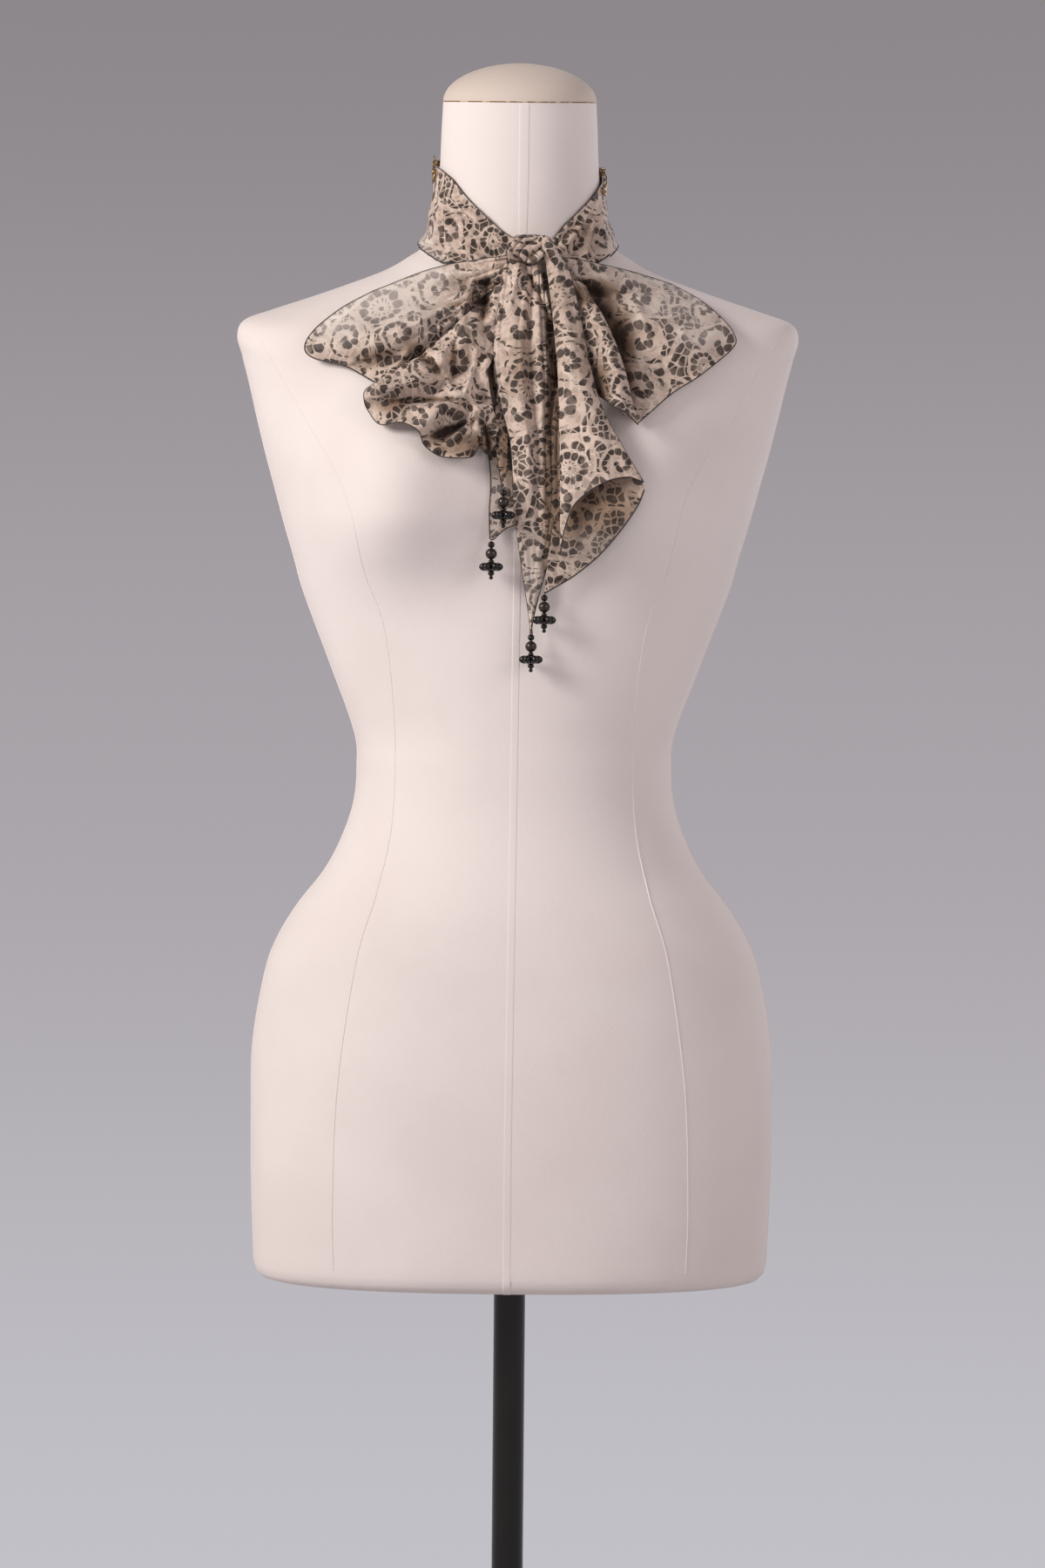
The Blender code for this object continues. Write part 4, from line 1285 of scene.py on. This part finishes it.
wing, points = folded_sheet(
    "right_wing_cloth", RIGHT_WING, 130, 130, RIGHT_WING_CREASES, (7, 1.2, 1.6),
    sheer=[(108, 676, 26, 13, 0.6), (124, 656, 16, 12, 0.6), (88, 694, 18, 7, 0.5)],
    # Spots of painted shade in folds and hollows, with the warmer colour of layered cloth
    layers_and_shade=[
        (68, 644, 9, 24, 1.0), (71, 618, 7, 16, 0.9), (52, 683, 14, 7, 1.0),
        (60, 668, 9, 12, 0.9), (98, 650, 26, 16, 0.14),
    ],
    place_print=(0.20, 0.05),
)
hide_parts("right_wing")
hems = [
    hem("right_wing_hem_top", points[0]),
    hem("right_wing_hem_end", points[:, -1], 0.45),
]
declare(wing, points, 0.0118)

# %% Right roll
RIGHT_ROLL = [
    [(32, 691, 12), (39, 654, 15), (52, 610, 11)],
    [(35.5, 691, 14.5), (46, 657, 20), (59, 605, 20)],
    [(38.5, 690, 16), (53, 659, 27), (66, 599, 27)],
    [(42, 689, 16), (60, 655, 28), (73, 595, 27)],
    [(44.5, 687.5, 15), (65.5, 646, 21), (78.5, 590, 20)],
    [(46.5, 686, 12.5), (69, 638, 13), (81.5, 588, 12)],
]
RIGHT_ROLL_CREASES = [
    (656, 326, 686, 331, 1.6, 1.5, 1.5),
    (656, 336, 688, 341, -2.0, 1.8, 1.8),
    (657, 346, 692, 352, 1.8, 2.0, 1.8),
    (656, 358, 690, 362, -1.2, 2.0, 2.0),
    (664, 382, 704, 386, -1.0, 2.5, 3.5),
    (684, 438, 706, 470, -3.5, 3.0, 3.0),
    (698, 398, 716, 440, 1.2, 4.0, 4.0),
]
roll, points = folded_sheet(
    "right_roll_cloth", RIGHT_ROLL, 80, 100, RIGHT_ROLL_CREASES, (5, 0.8, 1.5),
    # Spots of painted shade in folds and hollows, with the warmer colour of layered cloth
    layers_and_shade=[(52, 613, 8, 16, 0.9), (44, 678, 12, 7, 0.7), (58, 648, 14, 16, 0.15)],
    place_print=(0.31, 0.02),
)
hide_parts("right_roll")
hems = [hem("right_roll_hem", points[:, -1], 0.5)]
declare(roll, points, 0.0042)

# %% [markdown]
# ## Hanging tails
# Four ends hang under the knot. The centre tail is a loose bundle of pleats that narrows
# to a thread. The right tail starts as a narrow roll, opens out, and its corner turns up,
# so the back of the cloth shows below the front hem. Two short ends hang behind on the
# left.

# %% Centre tail
CENTRE_TAIL = [
    [(-10, 705, 15), (-16, 629, 9), (-4, 575, 9),
     (-1, 528, 9), (9.0, 461, 9.2), (10.4, 446, 9.6)],
    [(-4, 705, 17), (-10, 629, 15), (1, 575, 14),
     (4, 528, 12), (9.7, 461, 9.9), (10.6, 446, 9.9)],
    [(5, 703, 18), (0, 628, 19), (8, 575, 17),
     (8, 527, 13), (10.3, 461, 10.3), (10.8, 446, 10.1)],
    [(10, 703, 17), (8, 629, 12), (13, 575, 11),
     (14, 528, 10), (11, 461, 10.5), (11.0, 446, 10.2)],
    [(13, 703, 18), (16, 628, 16), (18, 574, 14),
     (19, 527, 11), (11.7, 461, 10.3), (11.2, 446, 10.1)],
    [(16, 703, 16), (23, 629, 12), (24, 575, 11),
     (24, 528, 9), (12.3, 461, 9.9), (11.4, 446, 9.9)],
    [(19, 703, 13), (30, 629, 9), (29, 575, 9),
     (29, 528, 8), (13.0, 461, 9.2), (11.6, 446, 9.6)],
]
CENTRE_TAIL_CREASES = [
    (597, 300, 587, 346, 3.2, 2.5, 3.5),
    (606, 300, 630, 352, -3.5, 2.2, 2.5),
    (620, 303, 634, 352, 2.0, 1.8, 1.8),
    (584, 360, 582, 462, -2.0, 3.5, 3.5),
    (600, 404, 612, 562, 2.2, 5.0, 5.0),
    (634, 366, 641, 430, -4.5, 4.5, 4.0),
    (641, 430, 631, 505, -3.0, 3.5, 4.0),
    (628, 520, 632, 590, -1.8, 3.0, 3.0),
    (620, 590, 628, 660, -1.6, 3.0, 2.5),
    (592, 520, 600, 650, 1.8, 3.5, 3.5),
    (606, 580, 612, 690, -1.4, 2.5, 2.5),
    (575, 470, 594, 560, 1.6, 2.5, 2.5),
]
tail, points = folded_sheet(
    "centre_tail_cloth", CENTRE_TAIL, 100, 240, CENTRE_TAIL_CREASES, (6, 1.3, 1.8),
    sheer=[(8, 478, 9, 26, 0.4)],
    # Spots of painted shade in folds and hollows, with the warmer colour of layered cloth
    layers_and_shade=[(24, 560, 5, 70, 0.7), (26, 640, 5, 40, 0.6), (3, 628, 11, 26, 0.3)],
    place_print=(0.40, 0.16),
)
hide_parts("centre_tail")
hems = [
    hem("centre_tail_hem_left", points[0, 60:], 0.35),
    hem("centre_tail_hem_right", points[-1, 90:], 0.4),
]
declare(tail, points, 0.0100)

# %% Right tail
RIGHT_TAIL = [
    [(13.0, 718, 27), (16.5, 708, 31), (20.5, 690, 22),
     (27, 628, 22), (29, 568, 20), (30, 501, 17)],
    [(15.0, 718.5, 30.5), (19.5, 709, 35.5), (23, 690, 26.5),
     (31, 627, 29), (35, 570, 25), (33, 518, 19)],
    [(17.5, 718.5, 31.5), (22.0, 709.5, 37), (26.5, 690, 29),
     (38, 627, 32), (42, 573, 29), (40, 534, 21)],
    [(20.5, 717.5, 30.5), (24.5, 709.5, 36), (30, 690, 28.5),
     (45, 621, 30), (55, 576, 29), (56, 546, 23)],
    [(23.0, 715.5, 26), (26.8, 708, 31), (33.5, 690, 27),
     (50, 616, 25), (64, 576, 23), (73, 551, 19)],
    [(25.0, 713, 19), (28.2, 706, 20), (36.5, 690, 24),
     (54, 609, 20), (71, 572, 18), (85, 548, 15)],
]
RIGHT_TAIL_CREASES = [
    (641, 300, 656, 396, 1.2, 3.5, 3.5),
    (652, 397, 672, 404, 1.6, 1.5, 1.5),
    (650, 405, 672, 411, -1.8, 1.8, 1.8),
    (650, 428, 674, 422, 1.4, 1.8, 1.8),
    (648, 470, 651, 562, 1.4, 2.5, 4.0),
    (662, 480, 676, 560, -1.2, 4.0, 4.0),
    (700, 502, 718, 560, -1.2, 5.0, 5.0),
    (630, 276, 640, 300, -1.0, 1.5, 1.5),
]
tail, points = folded_sheet(
    "right_tail_cloth", RIGHT_TAIL, 100, 220, RIGHT_TAIL_CREASES, (3, 0.7, 1.4),
    # Spots of painted shade in folds and hollows, with the warmer colour of layered cloth
    layers_and_shade=[(27, 668, 9, 24, 0.2), (47, 640, 6, 30, 0.3)],
    place_print=(0.50, 0.19),
)
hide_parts("right_tail")
hems = [
    hem("right_tail_hem_low", points[:, -1], 0.45),
    hem("right_tail_hem_side", points[-1, 60:], 0.35),
]
declare(tail, points, 0.0066)

# %% Turned corner of the right tail
RIGHT_FOLD = [
    [(26, 527, 12), (22, 498, 12), (19.5, 474.5, 12)],
    [(32, 536, 12), (30, 507, 11), (27, 479, 11)],
    [(42, 545, 12), (41, 519, 10), (40, 487, 9)],
    [(54, 552, 12), (55, 527, 10), (56, 500, 9)],
    [(66, 556, 12), (68, 536, 10), (70, 516, 9)],
    [(76, 556, 12), (79, 542, 11), (81, 532, 11)],
    [(82, 553, 12.2), (84, 548.5, 12.6), (85.5, 543, 12.8)],
]
RIGHT_FOLD_CREASES = [
    (648, 590, 642, 650, -1.8, 2.5, 3.0),
    (700, 590, 680, 640, 1.0, 6.0, 6.0),
]
fold, points = folded_sheet(
    "right_tail_corner", RIGHT_FOLD, 100, 80, RIGHT_FOLD_CREASES,
    sheer=[(60, 505, 22, 10, 0.3)],
    # Spots of painted shade in folds and hollows, with the warmer colour of layered cloth
    layers_and_shade=[(48, 530, 34, 30, 0.55)],
    place_print=(0.60, 0.02),
)
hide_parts("right_tail_fold")
hems = [hem("right_tail_corner_hem", points[:, -1], 0.6)]
declare(fold, points, 0.0033)

# %% Left tail
LEFT_TAIL = [
    [(-15, 698, 2.5), (-24, 615, 2.5), (-17.5, 557, 2), (-18, 530, 2.5), (-17.5, 511, 8)],
    [(-2, 690, 2.5), (-12, 611, 2.5), (-11, 557, 2), (-12.5, 529, 2.0), (-15, 510.5, 8)],
    [(2, 690, 2.5), (-6, 611, 2.5), (-6, 557, 2), (-6.5, 531, 1.8), (-7.5, 517.5, 3)],
    [(5, 690, 2.5), (1, 611, 2.5), (-1, 557, 2), (-1, 535, 1.8), (-0.5, 521, 2)],
]
tail, points = folded_sheet(
    "left_tail_cloth", LEFT_TAIL, 40, 140,
    sheer=[(-13, 535, 7, 26, 0.35)],
    # Spots of painted shade in folds and hollows, with the warmer colour of layered cloth
    layers_and_shade=[(-10, 660, 20, 45, 1.0), (-3, 570, 5, 20, 0.5)],
    place_print=(0.70, 0.10),
)
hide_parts("left_tail")
hems = [
    hem("left_tail_hem_side", points[0, 40:], 0.4),
    hem("left_tail_hem_low", points[:, -1], 0.45),
]
declare(tail, points, 0.0040)

# %% Short tail
SHORT_TAIL = [
    [(-4.5, 692, 7), (-14, 611, 6), (-14, 575, 8), (-9.8, 545, 18.2)],
    [(-1, 692, 7), (-9.5, 611, 6), (-10, 574.5, 9), (-8.5, 544.5, 18.5)],
    [(2.5, 692, 7), (-5, 611, 6), (-6, 575, 8), (-7.2, 545, 18.2)],
]
tail, points = folded_sheet(
    "short_tail_cloth", SHORT_TAIL, 30, 120,
    # Spots of painted shade in folds and hollows, with the warmer colour of layered cloth
    layers_and_shade=[(-8, 570, 6, 20, 0.6)],
    place_print=(0.76, 0.14),
)
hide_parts("short_tail")
hems = [hem("short_tail_hem", points[0, 30:], 0.35)]
declare(tail, points, 0.0013)

# %% [markdown]
# ## Neck band
# The band goes round the neck with a V opening in front. Its cloth is pulled together at
# the chain on each side, so folds fan out from there to the knot and to the lower hem.
# A grid is wrapped round the neck, each point found by looking inwards at the form.

# %% Sizes of the band
# Angle round the neck from the front, height of the top edge, height of the bottom edge,
# and how far the top, the middle and the bottom stand off the form
BAND_STATIONS = [
    (-180, 779, 735, 2.0, 3.5, 2.5),
    (-135, 779, 732, 2.0, 3.5, 2.5),
    (-110, 778, 727, 2.0, 4.0, 3.0),
    (-90, 777, 721, 2.0, 4.5, 4.0),
    (-70, 773, 711, 2.0, 5.0, 5.0),
    (-52, 764, 703, 2.0, 4.5, 4.5),
    (-38, 750, 701, 2.0, 4.0, 4.0),
    (-24, 737, 702, 2.0, 3.5, 3.5),
    (-8, 723, 704, 2.0, 3.0, 3.0),
    (8, 717, 704, 2.0, 3.0, 3.0),
    (20, 717, 702, 2.0, 3.5, 3.5),
    (33, 731, 701, 2.0, 4.5, 4.5),
    (48, 744, 702, 2.0, 5.0, 5.0),
    (68, 759, 710, 2.0, 5.0, 6.0),
    (90, 771, 721, 2.0, 4.5, 5.0),
    (110, 776, 727, 2.0, 4.0, 3.0),
    (135, 778, 732, 2.0, 3.5, 2.5),
    (180, 779, 735, 2.0, 3.5, 2.5),
]
BAND_PLEATS = 2.5
BAND_PLEAT_DEPTH = 0.9
BAND_LEAST = 1.0
BAND_PRINT = 0.9
NECK_RADIUS = 62.0
# The plain ripples of the band where it isn't seen, from this angle to the back
BEHIND_FROM = 100
BEHIND_RIPPLE = 0.6
# Spots of the band: place across, height, half width, half height, amount
BAND_SHEER = [(-66, 718, 7, 8, 0.7), (-58, 707, 8, 4, 0.6), (66, 717, 7, 8, 0.5)]
# Painted shade: spots that darken the band beside the knot
BAND_SHADE = [(46, 722, 16, 12, 0.3), (-26, 714, 14, 7, 0.2)]


def band_values(degrees):
    """Top, bottom and stand-offs of the band at an angle from the front."""
    table = np.array([row[1:] for row in BAND_STATIONS], dtype=float)
    angles = [row[0] for row in BAND_STATIONS]
    index = max(i for i, angle in enumerate(angles[:-1]) if angle <= degrees)
    part = (degrees - angles[index]) / (angles[index + 1] - angles[index])
    return curve_part(table, index, part)


def neck_point(degrees, height, stand_off):
    """Point off the form, found by looking inwards at an angle from the front."""
    angle = math.radians(degrees)
    outward = Vector((math.sin(angle), -math.cos(angle), 0))
    start = Vector((0, 0, height)) + outward * FAR
    hit, normal = surface.ray_cast(start, -outward)[:2]
    if normal.dot(outward) < 0:
        normal = -normal
    return hit + normal * stand_off


BAND_CREASES = [
    (507, 204, 496, 288, 2.4, 1.6, 2.0),
    (508, 206, 507, 296, -2.0, 1.6, 1.6),
    (509, 206, 520, 298, 2.7, 2.0, 1.8),
    (511, 208, 534, 294, -2.2, 1.8, 1.8),
    (513, 208, 552, 290, 2.7, 2.2, 2.0),
    (516, 209, 572, 286, -2.4, 1.8, 2.0),
    (520, 210, 592, 283, 2.7, 2.2, 1.8),
    (526, 211, 600, 274, -2.0, 1.5, 1.5),
    (540, 219, 600, 268, 1.8, 1.4, 1.4),
    (545, 262, 598, 290, 2.1, 2.0, 2.0),
    (560, 284, 600, 296, -2.4, 2.0, 1.6),
    (492, 262, 500, 300, -2.4, 2.0, 2.0),
    (691, 212, 702, 282, 2.2, 1.8, 1.8),
    (690, 214, 690, 292, -2.1, 1.8, 1.8),
    (688, 216, 672, 294, 2.7, 2.0, 2.2),
    (686, 218, 656, 290, -2.4, 1.8, 2.0),
    (683, 222, 644, 282, 2.4, 1.8, 2.0),
    (676, 230, 636, 274, -1.5, 1.4, 1.4),
    (700, 262, 712, 286, -2.1, 2.0, 2.0),
]

# %% Band
BAND_ROUND = 360
BAND_DOWN = 60
BAND_MERGE = 0.02

mesh, sheer_layer, layers_and_shade_layer = cloth_grid(BAND_ROUND, BAND_DOWN)
places = {}
edges = {0: {}, 1: {}}
for point in mesh.verts:
    degrees = min(179.999, -180 + 360 * (point.co.x + 0.5))
    down = 0.5 - point.co.y
    top, bottom, top_off, middle_off, bottom_off = band_values(degrees)
    height = top + (bottom - top) * down
    offs = np.array([top_off, middle_off, bottom_off])
    stand = resample(offs, 101)[round(100 * down)]
    pleat = math.sin(2 * math.pi * BAND_PLEATS * down + math.radians(degrees))
    stand += BAND_PLEAT_DEPTH * pleat * down
    around = math.radians(degrees) * NECK_RADIUS
    across = neck_point(degrees, height, stand).x
    spot = np.array([across]), np.array([height])
    stand += crease_rise(*spot, BAND_CREASES)[0]
    behind = max(0.0, abs(degrees) - BEHIND_FROM) / (180 - BEHIND_FROM)
    stand += BEHIND_RIPPLE * behind * math.sin(9 * down + 0.06 * around)
    places[point] = (around * MM + BAND_PRINT, height * MM)
    point[sheer_layer] = spots(*spot, BAND_SHEER)[0]
    # Painted shade from the band's spots
    point[layers_and_shade_layer] = spots(*spot, BAND_SHADE)[0]
    point.co = neck_point(degrees, height, max(BAND_LEAST, stand))
    if down < 0.001 or down > 0.999:
        edges[round(down)][degrees] = point.co.copy()
write_flat(mesh, places)
bmesh.ops.remove_doubles(mesh, verts=mesh.verts, dist=BAND_MERGE)
bmesh.ops.recalc_face_normals(mesh, faces=mesh.faces)
band = add_cloth("neck_band_cloth", mesh)
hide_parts("neck_band")
hems = []
for side, (name, radius) in enumerate((("neck_band_hem_top", 0.3), ("neck_band_hem_low", 0.5))):
    route = [edges[side][degrees] for degrees in sorted(edges[side])][:-1]
    hems.append(hem(name, route, radius, closed=True))

# %% [markdown]
# ## Knot
# The knot is the scarf crossed over itself and pulled tight. It is soft and full of
# pleats that run down over it, so a grid is wrapped into a rounded bundle and its
# pleats are ripples that lean to one side.

# %% Gathered knot
KNOT_CENTRE = 9.0
KNOT_MIDDLE = 711.0
KNOT_SQUARE = 0.7
KNOT_PLEATS = 5.5
KNOT_PLEAT_DEPTH = 0.24
KNOT_SHADE = 0.75
KNOT_LEAN = 0.384
KNOT_PRINT = 1.5
KNOT_RADIUS = 17.0
# Height, half width, and the distances of its back and front from the form's middle
KNOT_RINGS = np.array([
    (720.0, 11.0, 62.0, 79.5),
    (717.5, 14.6, 60.5, 84.0),
    (713.0, 17.2, 60.0, 87.0),
    (708.0, 17.6, 60.0, 87.5),
    (704.5, 15.8, 61.0, 85.5),
    (703.2, 13.5, 63.0, 83.0),
])
KNOT_ROUND = 180
KNOT_DOWN = 60

mesh, _, layers_and_shade_layer = cloth_grid(KNOT_ROUND, KNOT_DOWN)
knot_rings = resample(KNOT_RINGS, KNOT_DOWN + 1)
places = {}
for point in mesh.verts:
    angle = 2 * math.pi * (point.co.x + 0.5)
    row = round((0.5 - point.co.y) * KNOT_DOWN)
    height, half_width, back, front = knot_rings[row]
    cosine, sine = math.cos(angle), math.sin(angle)
    across = half_width * math.copysign(abs(cosine) ** KNOT_SQUARE, cosine)
    middle = 0.5 * (front + back)
    depth = 0.5 * (front - back) * math.copysign(abs(sine) ** KNOT_SQUARE, sine)
    lean = KNOT_LEAN * (height - KNOT_MIDDLE)
    ripple = 1 - abs(math.sin(KNOT_PLEATS * angle + lean + 0.6 * math.sin(3 * angle)))
    shrink = 1 - KNOT_PLEAT_DEPTH * ripple * (1 if sine > -0.2 else 0)
    sag = max(0, (KNOT_MIDDLE - height) / 8) ** 2
    uneven = 1.4 + 1.8 * math.sin(4.3 * angle + 0.9)
    # Painted shade in the hollows between the pleats of the knot
    point[layers_and_shade_layer] = KNOT_SHADE * ripple ** 3
    places[point] = (angle * KNOT_RADIUS * MM + KNOT_PRINT, height * MM * 1.2)
    point.co = Vector((
        KNOT_CENTRE + across * shrink, -(middle + depth * shrink), height - sag * uneven,
    ))
write_flat(mesh, places)
close_up(mesh)
knot = add_cloth("knot_cloth", mesh, thread=0)
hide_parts("knot")

# %% [markdown]
# ## Bead droppers
# Each tail ends in black beads on a thread: a small bead, a round brown one, a tiny one,
# six petals laid in a circle, and two small ones to finish. Each bead is its own sphere,
# scaled to its shape and dropped to its place on the thread.

# %% Polished beads
black_bead, tree, shader = new_finish("black_bead", 0.08)
sparkle = noise_value(tree, object_place(tree), 220.0, 2.0)
paint(tree, shader, sparkle, (0.004, 0.002, 0.002), (0.012, 0.007, 0.006))
tree.links.new(ramp(tree, sparkle, 0.3, 0.7, 0.05, 0.16), shader.inputs["Roughness"])
set_values(shader, {"Specular IOR Level": 0.35, "Coat Weight": 0.1, "Coat Roughness": 0.05})

brown_bead, tree, shader = new_finish("brown_bead", 0.2)
grain = noise_value(tree, object_place(tree), 420.0, 4.0, 0.7)
patches = ramp(tree, grain, 0.35, 0.65)
paint(tree, shader, patches, (0.014, 0.009, 0.006), (0.034, 0.020, 0.013))
tree.links.new(ramp(tree, grain, 0.3, 0.7, 0.15, 0.32), shader.inputs["Roughness"])

# %% Droppers
# Depth below the top, radius, half height, and finish (0 black, 1 brown) of each bead
BEADS = [
    (2.6, 2.3, 2.3, 0),
    (8.7, 3.9, 3.8, 1),
    (14.0, 1.9, 1.7, 0),
    (17.5, 2.7, 2.3, 0),
    (21.8, 2.2, 1.9, 0),
    (24.8, 1.4, 1.3, 0),
]
PETAL_COUNT = 6
PETAL_DEPTH = 17.5
PETAL_REACH = 4.3
PETAL_SIZE = (3.8, 2.5, 2.8)
THREAD_LONG = 25.6
THREAD_RADIUS = 0.35
# Name, place across, height of the top, and distance in front of the form
DROPPERS = [
    ("short", -8.5, 543.4, 18.5),
    ("left", -16.4, 509.3, 9.5),
    ("right", 19.6, 474.0, 12.0),
    ("centre", 10.9, 447.5, 10.0),
]


def add_bead(mesh, centre, size, turn, colour):
    """Ellipsoid bead of half sizes, turned about its thread."""
    matrix = Matrix.Translation(centre) @ Matrix.Rotation(turn, 4, "Z")
    matrix = matrix @ Matrix.Diagonal((*size, 1))
    made = bmesh.ops.create_uvsphere(
        mesh, u_segments=24, v_segments=14, radius=1.0, matrix=matrix,
    )
    for point in made["verts"]:
        for face in point.link_faces:
            face.material_index = colour


for name, across, top, lift in DROPPERS:
    centre = Vector((across, -front_of_form(across, top) - lift, top))
    mesh = bmesh.new()
    for below, radius, half, colour in BEADS:
        add_bead(mesh, centre - Vector((0, 0, below)), (radius, radius, half), 0, colour)
    for petal in range(PETAL_COUNT):
        turn = 2 * math.pi * petal / PETAL_COUNT
        out = Vector((math.cos(turn), math.sin(turn), 0)) * PETAL_REACH
        spot = centre + out - Vector((0, 0, PETAL_DEPTH))
        add_bead(mesh, spot, PETAL_SIZE, turn, 0)
    bmesh.ops.create_cone(
        mesh, cap_ends=True, segments=10, radius1=THREAD_RADIUS, radius2=THREAD_RADIUS,
        depth=THREAD_LONG, matrix=Matrix.Translation(centre - Vector((0, 0, THREAD_LONG / 2))),
    )
    bmesh.ops.recalc_face_normals(mesh, faces=mesh.faces)
    dropper = add_piece("dropper_" + name + "_beads", mesh, [black_bead, brown_bead])
    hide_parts("dropper_" + name)

# %% [markdown]
# ## Chain
# A gilt chain lies along the top edge of the band at the sides and behind. Its links are
# small rings, each turned against the next, as in a curb chain. Every ring is a small
# circle of wire spun round and set on the chain's run. A few smaller rings make the gilt
# trim at each end.

# %% Aged gilt
gilt, tree, shader = new_finish("aged_gilt", 0.3)
shader.inputs["Metallic"].default_value = 1.0
tarnish = noise_value(tree, object_place(tree), 500.0, 3.0)
patches = ramp(tree, tarnish, 0.4, 0.6)
paint(tree, shader, patches, (0.50, 0.33, 0.15), (0.07, 0.035, 0.018))
tree.links.new(ramp(tree, tarnish, 0.35, 0.65, 0.22, 0.55), shader.inputs["Roughness"])

# %% Links
CHAIN_FROM = 84.0
CHAIN_ABOVE = 3.3
CHAIN_OFF = 2.0
LINKS = 58
LINK_RADIUS = 2.1
LINK_WIRE = 0.5
LINK_LONG = 1.25
LINK_TURN = 35
WIRE_SIDES = 8
LINK_STEPS = 16
FILIGREE_OFF = 4.2
FILIGREE_TURN = 20

# Angle from the front, distance below the band's edge and size of each end ring
FILIGREE = [
    (86, -5.5, 0.8), (84, -1.5, 1.0), (80, 2.5, 1.05), (86, 3.5, 0.95), (82, 7.0, 1.0),
    (77, 5.5, 0.7), (85, 9.0, 0.75), (74, 3.0, 0.6),
]


def add_link(mesh, place, ahead, outward, turn, size):
    """One oval ring, lying along the chain and turned about its run."""
    made = bmesh.ops.create_circle(mesh, segments=WIRE_SIDES, radius=LINK_WIRE)["verts"]
    upright = Matrix.Rotation(math.radians(90), 3, "X")
    bmesh.ops.rotate(mesh, verts=made, cent=(0, 0, 0), matrix=upright)
    bmesh.ops.translate(mesh, verts=made, vec=(LINK_RADIUS * size, 0, 0))
    edges = list({edge for point in made for edge in point.link_edges})
    before = set(mesh.verts) - set(made)
    bmesh.ops.spin(
        mesh, geom=made + edges, cent=(0, 0, 0), axis=(0, 0, 1),
        angle=2 * math.pi, steps=LINK_STEPS, use_merge=True,
    )
    ring = [point for point in mesh.verts if point not in before]
    side = ahead.cross(outward).normalized()
    basis = Matrix((ahead, side, outward)).transposed().to_4x4()
    matrix = Matrix.Translation(place) @ basis @ Matrix.Rotation(turn, 4, "X")
    matrix = matrix @ Matrix.Diagonal((LINK_LONG, 1.0, 1.0, 1.0))
    bmesh.ops.transform(mesh, matrix=matrix, verts=ring)


def chain_point(degrees):
    """Point of the chain's run at an angle from the front."""
    folded = degrees if degrees < 180 else degrees - 360
    return neck_point(folded, band_values(folded)[0] + CHAIN_ABOVE, CHAIN_OFF)


mesh = bmesh.new()
for link in range(LINKS):
    degrees = CHAIN_FROM + (360 - 2 * CHAIN_FROM) * (link + 0.5) / LINKS
    here = chain_point(degrees)
    ahead = (chain_point(degrees + 1) - chain_point(degrees - 1)).normalized()
    outward = Vector((here.x, here.y, 0)).normalized()
    turn = math.radians(LINK_TURN if link % 2 else -LINK_TURN)
    add_link(mesh, here, ahead, outward, turn, 1.0)
for side in (-1, 1):
    for count, (degrees, below, size) in enumerate(FILIGREE):
        top = band_values(side * degrees)[0]
        here = neck_point(side * degrees, top - below, FILIGREE_OFF)
        outward = Vector((here.x, here.y, 0)).normalized()
        upward = Vector((0, 0, 1))
        ahead = upward.lerp(outward.cross(upward), 0.25 * (count % 3))
        ahead = (ahead - outward * ahead.dot(outward)).normalized()
        turn = math.radians(FILIGREE_TURN * (count % 2))
        add_link(mesh, here, ahead, outward, turn, size)
bmesh.ops.recalc_face_normals(mesh, faces=mesh.faces)
chain = add_piece("chain_links", mesh, [gilt])
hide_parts("chain")
print("links:", LINKS)
